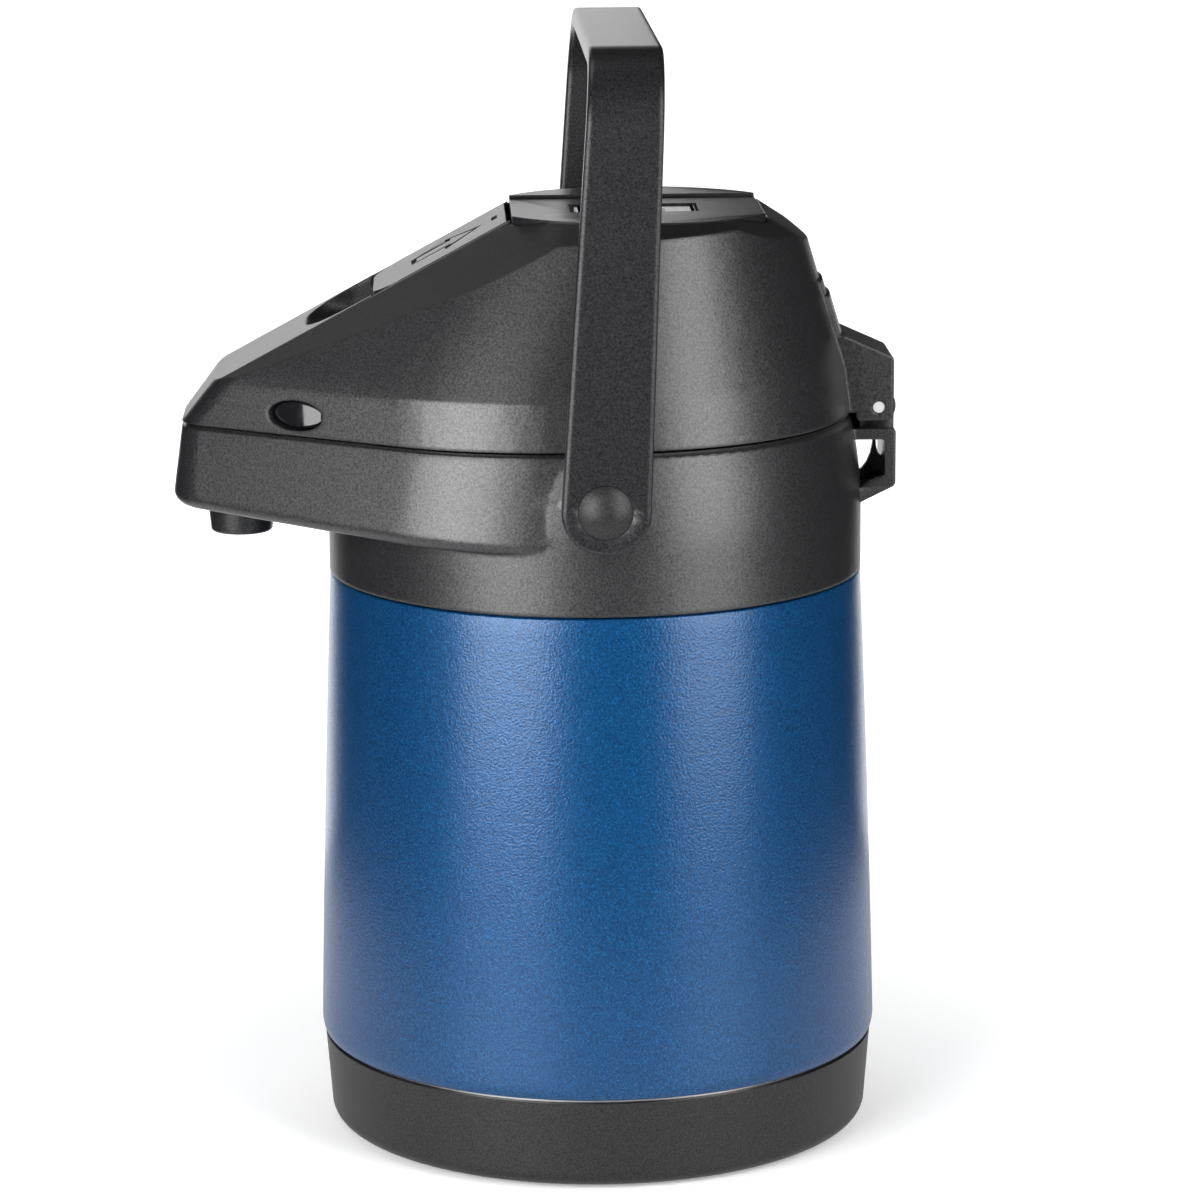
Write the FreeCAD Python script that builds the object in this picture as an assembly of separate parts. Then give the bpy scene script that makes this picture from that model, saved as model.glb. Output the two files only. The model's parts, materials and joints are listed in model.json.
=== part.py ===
import FreeCAD, Part
import os
from math import cos, pi, radians, sin, tan
from FreeCAD import Rotation, Vector

# Vacuum pump pot with a hinged pump lid and a bail handle, in millimetres.
# Origin: centre of the foot on the table. +Z is up, the spout points to -Y and the lid's hinge is at +Y.

# Base
BASE_H = 27.0               # top edge of the base cover
BASE_TOP_R = 83.0
BASE_FOOT_R = 81.3
BASE_EDGE_R = 4.5           # rounding of the lower edge
BASE_WALL = 2.4
FOOT_R = 66.0               # rubber foot
FOOT_T = 2.6
FOOT_PROUD = 0.8            # how far the foot stands below the base cover
SCREW_RING_R = 52.0
SCREW_ANGLES = (90, 210, 330)
SCREW_BOSS_R = 5.0
CAP_PORT_R = 9.0            # cap over the vessel's evacuation port
CAP_T = 3.0
SEAT_GAP = 0.3              # clearance of parts that drop into each other

# Outer casing and vessel
CASING_GAP = 0.9            # shadow gap between base and casing
CASING_H = 141.4            # visible height of the casing
CASING_FOOT_R = 83.8
CASING_TOP_R = 79.3
CASING_BOW = 0.35           # bulge of the wall between foot and top
CASING_CURL = 1.3           # how far the lower edge curls in
STEEL = 0.8                 # sheet thickness
SPIGOT_DROP = 2.6           # step in under the collar
SPIGOT_H = 8.0
VACUUM_GAP = 5.0            # space between casing and liner
LINER_FLOOR_H = 11.0        # liner floor above the casing's lower edge
MOUTH_R = 43.5
NECK_H = 8.5                # straight neck of the vessel
NECK_SPACE = 0.9            # vacuum space inside the neck
NECK_DROP = 19.5            # top of the neck below the parting plane
LINER_BEND = 6.0            # rounding between the liner's floor and wall

# Collar, beak and parting plane
SHOULDER_H = 45.1           # height of the shoulder moulding
COLLAR_GAP = 0.6            # seam between casing and collar
COLLAR_R = 79.4
COLLAR_STRAIGHT = 17.0      # straight part of the collar
COLLAR_LEAN = 3.2           # how much the collar draws in up to the parting plane
SHELL = 2.6                 # wall of the plastic mouldings
BEAK_SIDE_STEP = 3.8        # sides of the lid and the beak inside the collar's radius
BEAK_WALL_STEP = 4.3        # slanted beak walls outside the collar's radius
BEAK_NOSE = 121.8           # reach of the nose
BEAK_TURN = 34.2            # angle of the beak wall's normal from the X axis
BEAK_CORNER_R = 80.0        # broad bend between the slanted walls and the sides
CORNER_TOP_SHARE = 0.75     # share of the bends' radius that is left at the lid's top
BEAK_NOSE_R = 14.0
BEAK_DRAFT = 8.0            # draft of the beak below the parting plane
BEAK_DEPTH = 27.6           # underside of the beak below the parting plane, at the collar
BEAK_FLOOR_TILT = 3.1       # rise of the underside towards the nose
BEAK_EDGE_R = 4.0
RIM_STEP = 1.0              # inner rim of the shoulder, set back from its outside
RIM_H = 0.8

# Lid
LID_GAP = 1.6               # parting gap under the lid's skirt
SKIRT_H = 13.4
SKIRT_LEAN = 7.5
SIDE_LEAN = 21.9
WALL_LEAN = 30.5
NOSE_LEAN = 37.8
REAR_LEAN = 16.6
LID_H = 59.8                # height of the lid's flat top above its skirt's edge
BEND_Y = -24.3              # where the front slope meets the flat top
REAR_BEND_Y = 49.2          # where the rear slope meets the flat top
FRONT_SLOPE = 28.3
REAR_SLOPE = 32.8
ROOF_TILT = 18.2            # tilt of the roof on both sides of the middle strip
STRIP_HALF = 22.0           # half width of the middle strip
REAR_OVERHANG = 3.7         # how far the roof stands out over the rear wall
STEP_OUT = 0.9              # each step of the raised panel on the rear wall
STEP_RISES = (39.2, 34.7)   # tops of the panel's two steps above the skirt's edge
REAR_LIP_START = 2.0        # start of the overhang behind the middle of the rear bend
REAR_LIP_T = 4.0
LID_SHELL_T = 2.4

# Press plate and its lock
PLATE_R = 44.6
PLATE_T = 3.2
PLATE_GAP = 0.5
PLATE_SKIRT = 9.0
PLATE_SKIRT_T = 1.8
LIP_H = 1.0                 # raised side lips of the plate
LIP_INNER = 24.5            # half width of the sunk middle of the plate
WELL_WALL = 2.0
WELL_DEPTH = 31.0           # depth of the well in the lid
WINDOW_REAR = 31.0          # rear end of the lock window
WINDOW_L = 38.1
WINDOW_HALF = 9.5
TRAY_DEPTH = 6.0
TRAY_WALL = 1.2
TRAY_SUNK = 0.3
SLIDER_L = 21.0
SLIDER_SUNK = 0.8
SLIDER_GAP = 0.9            # gap at the rear end of the window
STOP_T = 1.0
STOP_Y = -5.5

# Release lever and finger scoop
LEVER_TIP = -65.0
LEVER_T = 3.0
LEVER_GAP = 0.5
LEVER_TIP_R = 9.0           # rounding of the tip's corners in plan
LEVER_BARREL_R = 2.6
LEVER_HEEL = 1.4            # how far the lever's plate runs on behind its axis
LEVER_PIN_R = 1.2
LEVER_WIRE = 0.3
LEVER_TURNS = 6
SPRING_SLOT = 3.0           # half length of the spring's slot in the barrel
SCOOP_FRONT = -87.0
SCOOP_HALF = 21.0
SCOOP_R = 17.0
SCOOP_FLOOR_R = 6.0         # hollow between the scoop's floor and sides
SCOOP_DIP = 0.8             # floor of the scoop below its front edge
SCOOP_UNDER = 7.0           # how far the scoop runs under the lever
BED_T = 2.4                 # wall under lever and scoop
ARROW_L = 19.0
ARROW_HALF = 9.0
ARROW_SHAFT = 4.5
ARROW_HEAD = 9.0
ARROW_Y = -53.0
ARROW_LINE = 1.6
ARROW_DEEP = 0.6

# Side catch buttons
BUTTON_Y = -87.7
BUTTON_RISE = 5.6           # middle of the side buttons above the skirt's edge
BUTTON_L = 18.6
BUTTON_H = 8.2
BUTTON_GAP = 0.35
BUTTON_SUNK = 2.2
BUTTON_DEEP = 5.4
POCKET_WALL = 1.4
POCKET_DEEP = 13.0
BUTTON_EDGE_R = 1.0
CATCH_SPRING_R = 2.4
CATCH_WIRE = 0.35
CATCH_TURNS = 3

# Hinge and rear bracket
PIN_Y = 83.7
PIN_RISE = 3.1              # pin above the parting plane
PIN_R = 1.7
PIN_SUNK = 0.3              # pin ends lie back in the cheeks
PIN_FIT = 0.05              # radial running clearance of pins and pivots
CHEEK_OUT = 13.5
CHEEK_IN = 10.5
CHEEK_DROP = 3.9            # flat lower edge of the cheeks below the pin
CHEEK_BACK = 4.4            # rear edge of the cheeks behind the pin
CHEEK_GAP = 0.8             # clearance of the cheeks behind the shoulder
LUG_HALF = 10.1
LUG_R = 5.3
BLOCK_RISE = 24.5           # top edge of the hinge block above the parting plane
BLOCK_REAR_RISE = 18.0
BRACKET_REAR = 88.9
BRACKET_HALF = 12.0
BRACKET_DROP = 3.6          # top of the bracket below the parting plane
BRACKET_H = 17.0            # height of the bracket's rear bar
BRACKET_T = 3.2
BRACKET_FOOT = 22.9         # foot of the bracket below its top

# Handle
PIVOT_DROP = 13.4           # handle pivots below the parting plane
PIVOT_R = 4.0
BOSS_R = 10.0
ARM_IN = 82.2               # inner face of the arms
ARM_T = 5.8
ARM_END_R = 12.35           # rounded lower end of the arms
HANDLE_H = 128.4            # top of the handle above its pivots
BAR_W = 20.9
BAR_LEAN_Y = 7.1            # how far the bar stands behind the pivots
HANDLE_CORNER_R = 24.0
HANDLE_EDGE_R = 1.3
ARM_GAP = 0.3               # running gap between boss and arm
CAP_R = 7.85
CAP_DOME = 3.0
SCREW_HEAD_R = 6.2
SCREW_HEAD_T = 1.7
SCREW_R = 1.8
HEAD_GAP = 0.4

# Liquid way
PIPE_GAP = 2.0              # delivery pipe outside the neck ring
TUBE_INSET = 8.0            # riser tube inside the mouth's edge
TUBE_R = 4.0
TUBE_WALL = 1.1
TUBE_FLOOR_GAP = 6.0
PIPE_R = 4.5
PIPE_WALL = 1.2
PIPE_DROP = 12.5            # pipe below the parting plane
PIPE_BEND = 6.0
JOINT_R = 6.0
NOZZLE_Y = -105.3
NOZZLE_R = 9.2
NOZZLE_TOP_R = 10.3
NOZZLE_BORE_R = 5.5
NOZZLE_L = 6.3              # how far the nozzle hangs below the beak's floor level
NOZZLE_EDGE_R = 1.2
NOZZLE_FLANGE = 2.4

# Neck, deck and pump
RING_T = 5.2                # wall of the neck ring
RING_H = 23.4               # height of the neck ring
SEAT_DROP = 3.6             # sealing seat of the mouth below the parting plane
GASKET_T = 1.5
DECK_T = 2.5
DECK_SCREW_L = 9.0
DECK_DROP = 4.0             # deck below the parting plane
POST_R = 4.0
POST_X = 24.0
POST_Y = -84.0
SEAL_GAP = 0.1
SEAL_T = 2.1
CUP_R = 41.0
CUP_WALL = 2.5
CUP_FLOOR_T = 2.5
LID_PLATE_RISE = 12.0       # inner plate above the skirt's edge
LID_PLATE_T = 2.5
BELLOWS_R = 28.0
BELLOWS_IN = 22.5
BELLOWS_FOLDS = 6
BELLOWS_SKIN = 1.2
SPRING_R = 18.0
SPRING_WIRE = 0.9
SPRING_TURNS = 6
WIRE_SIDES = 8
PLUNGER_R = 28.0
PLUNGER_T = 2.4
PLUNGER_DROP = 14.4         # plunger's foot below the lid's top
PUMP_Y = 8.0                # pump axis behind the pot's axis
VALVE_R = 8.0
VALVE_T = 1.0
VALVE_PORT_R = 3.0
RING_GRIP = 2.0
SCREW_L = 11.0
LID_BOSS_R = 4.0
LID_BOSS_X = 55.0
LID_BOSS_Y = (-14.0, 30.0)

# Values worked out from the sizes above
CASING_Z = BASE_H + CASING_GAP
CASING_TOP = CASING_Z + CASING_H
COLLAR_Z = CASING_TOP + COLLAR_GAP
PARTING = COLLAR_Z + SHOULDER_H
COLLAR_TOP_R = COLLAR_R - COLLAR_LEAN
BEAK_SIDE = COLLAR_R - BEAK_SIDE_STEP
BEAK_WALL = COLLAR_R + BEAK_WALL_STEP
LID_REAR = COLLAR_TOP_R
TUBE_Y = TUBE_INSET - MOUTH_R
PIPE_START = MOUTH_R + RING_T + PIPE_GAP
SPIGOT_R = CASING_TOP_R - SPIGOT_DROP
SPIGOT_TOP = CASING_TOP + SPIGOT_H
NECK_R = MOUTH_R + 2 * STEEL + NECK_SPACE
NECK_TOP = PARTING - NECK_DROP
BEAK_FLOOR = PARTING - BEAK_DEPTH
NOZZLE_Z = BEAK_FLOOR - NOZZLE_L
PIPE_Z = PARTING - PIPE_DROP
SEAT_Z = PARTING - SEAT_DROP
RING_BOTTOM = SEAT_Z - RING_H
DECK_TOP = PARTING - DECK_DROP
LID_Z = PARTING + LID_GAP
BAND_Z = LID_Z + SKIRT_H
TOP_Z = LID_Z + LID_H
LID_PLATE_Z = LID_Z + LID_PLATE_RISE
CUP_Z = SEAT_Z + SEAL_GAP + SEAL_T
CUP_FLOOR = CUP_Z + CUP_FLOOR_T
PLUNGER_Z = TOP_Z - PLUNGER_DROP
TRAY_FLOOR = TOP_Z - TRAY_DEPTH + TRAY_WALL
BUTTON_Z = LID_Z + BUTTON_RISE
PIN_Z = PARTING + PIN_RISE
BLOCK_TOP_Z = PARTING + BLOCK_RISE
BLOCK_REAR_Z = PARTING + BLOCK_REAR_RISE
BRACKET_TOP = PARTING - BRACKET_DROP
BRACKET_LOW = BRACKET_TOP - BRACKET_H
BRACKET_FOOT_Z = BRACKET_TOP - BRACKET_FOOT
PIVOT_Z = PARTING - PIVOT_DROP
HANDLE_TOP = PIVOT_Z + HANDLE_H
PLATE_Y = (BEND_Y + REAR_BEND_Y) / 2
PLATE_HALF_L = (REAR_BEND_Y - BEND_Y) / 2
BEND_T = tan(radians(FRONT_SLOPE))
REAR_T = tan(radians(REAR_SLOPE))
ROOF_T = tan(radians(ROOF_TILT))
WALL_N = Vector(cos(radians(BEAK_TURN)), -sin(radians(BEAK_TURN)), 0)
ARM_OUT = ARM_IN + ARM_T
BIG = 400.0                 # larger than the pot, for cutting solids
X, Y, Z = Vector(1, 0, 0), Vector(0, 1, 0), Vector(0, 0, 1)


def box(x0, x1, y0, y1, z0, z1):
    return Part.makeBox(x1 - x0, y1 - y0, z1 - z0, Vector(x0, y0, z0))


def cylinder(radius, base, axis, length):
    return Part.makeCylinder(radius, length, base, axis)


def upright(radius, x, y, z0, z1):
    return cylinder(radius, Vector(x, y, z0), Z, z1 - z0)


def tube(outer, inner, x, y, z0, z1):
    return upright(outer, x, y, z0, z1).cut(upright(inner, x, y, z0, z1))


def revolve(points, axis_y=0.0):
    """Turn a closed outline of (radius, z) points about the upright axis; a middle point makes an arc."""
    edges = []
    for start, end in zip(points, points[1:] + points[:1]):
        a = Vector(start[0], axis_y, start[1])
        b = Vector(end[0], axis_y, end[1])
        if len(end) == 4:
            edges.append(Part.Arc(a, Vector(end[2], axis_y, end[3]), b).toShape())
        elif a.distanceToPoint(b) > 1e-6:
            edges.append(Part.makeLine(a, b))
    face = Part.Face(Part.Wire(edges))
    return face.revolve(Vector(0, axis_y, 0), Z, 360)


def rounded_runs(corners):
    """Start, middle and end of the bend at each corner (u, v, radius) of a closed outline."""
    runs = []
    for i, (u, v, radius) in enumerate(corners):
        p = Vector(u, v, 0)
        following = corners[(i + 1) % len(corners)]
        before = Vector(corners[i - 1][0], corners[i - 1][1], 0).sub(p).normalize()
        after = Vector(following[0], following[1], 0).sub(p).normalize()
        if radius <= 0:
            runs.append((p, None, p))
            continue
        half = before.getAngle(after) / 2
        reach = radius / tan(half)
        middle = (before + after).normalize() * (radius / sin(half) - radius)
        runs.append((p + before * reach, p + middle, p + after * reach))
    return runs


def rounded_polygon(corners, place):
    """Closed wire through corners (u, v, radius), each mapped into space by place(u, v)."""
    runs = rounded_runs(corners)
    edges = []
    for i, (start, middle, end) in enumerate(runs):
        if middle is not None:
            edges.append(Part.Arc(place(start), place(middle), place(end)).toShape())
        following = runs[(i + 1) % len(runs)][0]
        if end.distanceToPoint(following) > 1e-6:
            edges.append(Part.makeLine(place(end), place(following)))
    return Part.Wire(edges)


def at_height(z):
    return lambda p: Vector(p.x, p.y, z)


def across(x):
    """Place an outline of (y, z) points in the plane of constant x."""
    return lambda p: Vector(x, p.x, p.y)


def prism(corners, place, direction):
    return Part.Face(rounded_polygon(corners, place)).extrude(direction)


def side_prism(corners, half):
    """Solid between -half and +half in X from an outline of (y, z, radius) corners."""
    return prism(corners, across(-half), Vector(2 * half, 0, 0))


def below_plane(point, normal):
    """Half space on the far side of a plane's normal, as a large block."""
    block = box(-BIG, BIG, -BIG, BIG, -2 * BIG, 0)
    block.Placement = FreeCAD.Placement(point, Rotation(Z, normal))
    return block


def mirrored(shape):
    return shape.mirror(Vector(0, 0, 0), X)


def both_sides(shape):
    return Part.makeCompound([shape, mirrored(shape)])


# Lid outline: side, wall, nose and rear distances, given at any height
def lid_plan(z):
    low = z - LID_Z
    skirt = min(low, SKIRT_H)
    high = max(low - SKIRT_H, 0)
    lean = [tan(radians(a)) for a in (SIDE_LEAN, WALL_LEAN, NOSE_LEAN, REAR_LEAN)]
    skirt_lean = tan(radians(SKIRT_LEAN))
    start = (BEAK_SIDE, BEAK_WALL, BEAK_NOSE, LID_REAR)
    plan = []
    for i in range(4):
        lower_lean = lean[i] if i == 2 else skirt_lean
        plan.append(start[i] - skirt * lower_lean - high * lean[i])
    return plan


def plan_corner(plan):
    return Vector(plan[0], (WALL_N.x * plan[0] - plan[1]) / -WALL_N.y, 0)


def plan_nose(plan):
    return Vector((plan[1] + WALL_N.y * plan[2]) / WALL_N.x, -plan[2], 0)


def plan_wire(plan, inset, z, rounding):
    """Lid outline at one height: nose, slanted walls, straight sides and a round rear."""
    inner = [value - inset for value in plan]
    corner = plan_corner(inner)
    nose = plan_nose(inner)
    centre = inner[3] - inner[0]
    corner_r = max(BEAK_CORNER_R * rounding - inset, 1)
    nose_r = max(BEAK_NOSE_R * rounding - inset, 1)
    place = at_height(z)
    runs = rounded_runs([
        (-nose.x, nose.y, nose_r), (nose.x, nose.y, nose_r), (corner.x, corner.y, corner_r),
        (inner[0], centre, 0), (-inner[0], centre, 0), (-corner.x, corner.y, corner_r)])
    edges = []
    for i, (start, middle, end) in enumerate(runs):
        if middle is not None:
            edges.append(Part.Arc(place(start), place(middle), place(end)).toShape())
        following = place(runs[(i + 1) % len(runs)][0])
        if i == 3:
            edges.append(Part.Arc(place(end), Vector(0, inner[3], z), following).toShape())
        else:
            edges.append(Part.makeLine(place(end), following))
    return Part.Wire(edges)


def roof_limits(drop):
    """Blocks that bound the lid from above: flat top, cone round the plate, front and rear slopes."""
    top = TOP_Z - drop
    rim = top + LIP_H
    far = PLATE_R + BIG
    cone = revolve([(0, 0), (0, rim), (PLATE_R, rim), (far, rim - BIG * ROOF_T), (far, 0)], PLATE_Y)
    blocks = [cone]
    front = Vector(0, BEND_Y, top)
    rear = Vector(0, REAR_BEND_Y, top)
    blocks.append(below_plane(front, Vector(0, -BEND_T, 1)))
    blocks.append(below_plane(rear, Vector(0, REAR_T, 1)))
    for side in (1, -1):
        edge = Vector(side * STRIP_HALF, 0, 0)
        blocks.append(below_plane(front + edge, Vector(side * ROOF_T, -BEND_T, 1)))
        blocks.append(below_plane(rear + edge, Vector(side * ROOF_T, REAR_T, 1)))
    return blocks


def lid_walls(inset, foot):
    """Walls of the lid up to above its roof, run down by foot below the skirt's edge."""
    levels = [LID_Z, BAND_Z, TOP_Z + 4 * LIP_H]
    shares = [1.0, 1.0, CORNER_TOP_SHARE]
    wires = [plan_wire(lid_plan(z), inset, z, share) for z, share in zip(levels, shares)]
    if foot > 0:
        wires.insert(0, plan_wire(lid_plan(LID_Z), inset, LID_Z - foot, 1.0))
    return Part.makeLoft(wires, True, True)


def under_roof(shape, drop):
    """The part of a shape that lies under the roof, lowered by drop."""
    for block in roof_limits(drop):
        shape = shape.common(block)
    return shape


def lid_body(inset, drop, foot):
    """Solid under the lid's roof; inset and drop shrink it for the inside."""
    return under_roof(lid_walls(inset, foot), drop)


def plate_outline(grow):
    """Plan of the press plate: a disc cut straight at the front and the rear."""
    disc = upright(PLATE_R + grow, 0, PLATE_Y, 0, BIG)
    reach = PLATE_HALF_L + grow
    return disc.common(box(-BIG, BIG, PLATE_Y - reach, PLATE_Y + reach, 0, BIG))


def between(shape, z0, z1):
    return shape.common(box(-BIG, BIG, -BIG, BIG, z0, z1))


# Base
def foot_pad():
    return upright(FOOT_R, 0, 0, 0, FOOT_T)


def around(radius, angles):
    return [Vector(radius * cos(radians(a)), radius * sin(radians(a)), 0) for a in angles]


def base_cover():
    low = FOOT_PROUD
    edge = BASE_EDGE_R * (1 - cos(pi / 4))
    inner_top = BASE_TOP_R - BASE_WALL
    inner_low = BASE_FOOT_R - BASE_WALL
    floor = FOOT_T + BASE_WALL
    cup = revolve([
        (0, FOOT_T), (FOOT_R + SEAT_GAP, FOOT_T), (FOOT_R + SEAT_GAP, low), (BASE_FOOT_R - BASE_EDGE_R, low),
        (BASE_FOOT_R, low + BASE_EDGE_R, BASE_FOOT_R - edge, low + edge),
        (BASE_TOP_R, BASE_H), (inner_top, BASE_H), (inner_low, floor), (0, floor)])
    for p in around(SCREW_RING_R, SCREW_ANGLES):
        cup = cup.fuse(upright(SCREW_BOSS_R + BASE_WALL, p.x, p.y, floor - 0.01, CASING_Z - STEEL))
        cup = cup.cut(upright(SCREW_BOSS_R, p.x, p.y, FOOT_T - 1, CASING_Z - STEEL - BASE_WALL))
        cup = cup.cut(upright(SCREW_R, p.x, p.y, FOOT_T, CASING_Z))
    return cup


def base_screws():
    screws = []
    top = CASING_Z - STEEL - BASE_WALL
    for p in around(SCREW_RING_R, SCREW_ANGLES):
        head = upright(SCREW_BOSS_R - HEAD_GAP, p.x, p.y, top - SCREW_HEAD_T, top)
        shank = upright(SCREW_R, p.x, p.y, top, CASING_Z + 2)
        screws.append(head.fuse(shank))
    return Part.makeCompound(screws)


# Steel vessel
def casing_wall(inset):
    """Foot, bulging middle and top of the casing's wall, moved inwards by inset."""
    middle = (CASING_FOOT_R + CASING_TOP_R) / 2 + CASING_BOW
    curl_z = CASING_Z + 3 * CASING_CURL
    halfway = (curl_z + CASING_TOP) / 2
    return (CASING_FOOT_R - inset, curl_z), (middle - inset, halfway), (CASING_TOP_R - inset, CASING_TOP)


def outer_casing():
    foot, middle, top = casing_wall(0)
    foot_in, middle_in, top_in = casing_wall(STEEL)
    curl = CASING_FOOT_R - CASING_CURL
    neck_foot = NECK_TOP - NECK_H
    bend = CASING_FOOT_R - 0.3 * CASING_CURL
    bend_z = CASING_Z + 0.9 * CASING_CURL
    return revolve([
        (curl, CASING_Z), (foot[0], foot[1], bend, bend_z), (top[0], top[1], middle[0], middle[1]),
        (SPIGOT_R, CASING_TOP), (SPIGOT_R, SPIGOT_TOP), (NECK_R, neck_foot), (NECK_R, NECK_TOP),
        (NECK_R - STEEL, NECK_TOP), (NECK_R - STEEL, neck_foot - STEEL),
        (SPIGOT_R - STEEL, SPIGOT_TOP - STEEL),
        (SPIGOT_R - STEEL, CASING_TOP - STEEL), (top_in[0] - STEEL, CASING_TOP - STEEL),
        (foot_in[0], foot_in[1], middle_in[0] - STEEL / 4, middle_in[1]),
        (curl - STEEL, CASING_Z, bend - STEEL, bend_z)])


def liner_sizes():
    """Radius and height of the liner's welds: floor to wall and wall to neck."""
    foot, middle, top = casing_wall(STEEL + VACUUM_GAP)
    return foot[0], CASING_Z + LINER_FLOOR_H + LINER_BEND, top[0], CASING_TOP - VACUUM_GAP


def liner_floor():
    radius, weld, top_radius, wall_top = liner_sizes()
    floor = weld - LINER_BEND
    bend = 0.3 * LINER_BEND
    return revolve([
        (0, floor), (radius - LINER_BEND, floor), (radius, weld, radius - bend, floor + bend),
        (radius - STEEL, weld),
        (radius - LINER_BEND, floor + STEEL, radius - bend - STEEL, floor + bend + STEEL),
        (0, floor + STEEL)])


def vacuum_liner():
    radius, weld, top_radius, wall_top = liner_sizes()
    return revolve([
        (radius, weld), (top_radius, wall_top), (top_radius - STEEL, wall_top), (radius - STEEL, weld)])


def liner_neck():
    radius, weld, top_radius, wall_top = liner_sizes()
    neck_foot = NECK_TOP - NECK_H - STEEL - VACUUM_GAP / 2
    neck = MOUTH_R + STEEL
    return revolve([
        (top_radius, wall_top), (neck, neck_foot), (neck, NECK_TOP - STEEL),
        (NECK_R - STEEL, NECK_TOP - STEEL), (NECK_R - STEEL, NECK_TOP), (MOUTH_R, NECK_TOP),
        (MOUTH_R, neck_foot - STEEL), (top_radius - STEEL, wall_top)])


def casing_bottom():
    rim = CASING_FOOT_R - CASING_CURL - STEEL
    pan = upright(rim, 0, 0, CASING_Z - STEEL, CASING_Z)
    pan = pan.fuse(tube(rim, rim - STEEL, 0, 0, CASING_Z - STEEL, CASING_Z + 2))
    for p in around(SCREW_RING_R, SCREW_ANGLES):
        pan = pan.fuse(upright(2 * SCREW_R, p.x, p.y, CASING_Z - STEEL, CASING_Z + 4))
        pan = pan.cut(upright(SCREW_R, p.x, p.y, CASING_Z - STEEL, CASING_Z + 3))
    return pan


def vacuum_seal_cap():
    top = CASING_Z - STEEL
    return revolve([
        (0, top), (CAP_PORT_R, top), (CAP_PORT_R, top - CAP_T / 2),
        (CAP_PORT_R - CAP_T, top - CAP_T), (0, top - CAP_T)])


# Shoulder moulding
def collar_points(inset, low, high):
    shift = COLLAR_Z + COLLAR_STRAIGHT
    middle = (COLLAR_R * 0.75 + COLLAR_TOP_R * 0.25 - inset, (shift + PARTING) / 2)
    return [
        (0, low), (COLLAR_R - inset, low), (COLLAR_R - inset, shift),
        (COLLAR_TOP_R - inset, PARTING, middle[0], middle[1]), (COLLAR_TOP_R - inset, high), (0, high)]


def beak_loft(inset, low, high):
    """Beak below the parting plane, with draft; its rear end lies inside the collar."""
    wires = []
    for z in (low, high):
        spread = (PARTING - z) * tan(radians(BEAK_DRAFT)) - inset
        side = BEAK_SIDE + (PARTING - z) * (COLLAR_R - BEAK_SIDE - 1.4) / (PARTING - BEAK_FLOOR) - inset
        plan = (side, BEAK_WALL + spread, BEAK_NOSE + spread, 0)
        corner = plan_corner(plan)
        nose = plan_nose(plan)
        corner_r = BEAK_CORNER_R + spread
        nose_r = BEAK_NOSE_R + spread
        points = [
            (-nose.x, nose.y, nose_r), (nose.x, nose.y, nose_r), (corner.x, corner.y, corner_r),
            (side, -1, 0), (-side, -1, 0), (-corner.x, corner.y, corner_r)]
        wires.append(rounded_polygon(points, at_height(z)))
    return Part.makeLoft(wires, True, True)


def floor_plane(lift):
    """Block below the beak's tilted underside, raised by lift."""
    tilt = tan(radians(BEAK_FLOOR_TILT))
    return below_plane(Vector(0, -COLLAR_R / 2, BEAK_FLOOR + lift), Vector(0, tilt, 1))


def beak_outside():
    beak = beak_loft(0, BEAK_FLOOR - 3 * SHELL, PARTING).cut(floor_plane(0))
    tilt = Vector(0, tan(radians(BEAK_FLOOR_TILT)), 1).normalize()
    lower = []
    for face in beak.Faces:
        if face.normalAt(0, 0).dot(tilt) < -0.999:
            lower = [e for e in face.Edges if e.BoundBox.YMin < -BEAK_EDGE_R and e.BoundBox.YMax < -1.5]
            lower += [e for e in face.Edges if e.BoundBox.YMax > -1.5 and e.BoundBox.YLength > BEAK_EDGE_R]
    return beak.makeFillet(BEAK_EDGE_R, lower)


def bracket():
    """Rear loop under the hinge, open from side to side."""
    start = COLLAR_TOP_R - 2 * SHELL
    outside = [
        (start, BRACKET_TOP, 0), (BRACKET_REAR, BRACKET_TOP, 1), (BRACKET_REAR, BRACKET_LOW, 2),
        (COLLAR_R - SHELL, BRACKET_FOOT_Z, 0), (start, BRACKET_FOOT_Z, 0)]
    inside = [
        (start - 1, BRACKET_TOP - BRACKET_T, 0), (BRACKET_REAR - BRACKET_T, BRACKET_TOP - BRACKET_T, 1),
        (BRACKET_REAR - BRACKET_T, BRACKET_LOW + BRACKET_T, 1),
        (COLLAR_R - SHELL, BRACKET_FOOT_Z + BRACKET_T + 1, 0),
        (start - 1, BRACKET_FOOT_Z + BRACKET_T + 1, 0)]
    return side_prism(outside, BRACKET_HALF).cut(side_prism(inside, BIG))


def hinge_lug():
    foot = BRACKET_TOP - 1
    post = side_prism([
        (PIN_Y - LUG_R, foot, 0), (PIN_Y + LUG_R - 0.6, foot, 0), (PIN_Y + LUG_R - 0.6, PIN_Z, 0),
        (PIN_Y - LUG_R, PIN_Z, 0)], LUG_HALF)
    barrel = cylinder(LUG_R, Vector(-LUG_HALF, PIN_Y, PIN_Z), X, 2 * LUG_HALF)
    return post.fuse(barrel)


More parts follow.
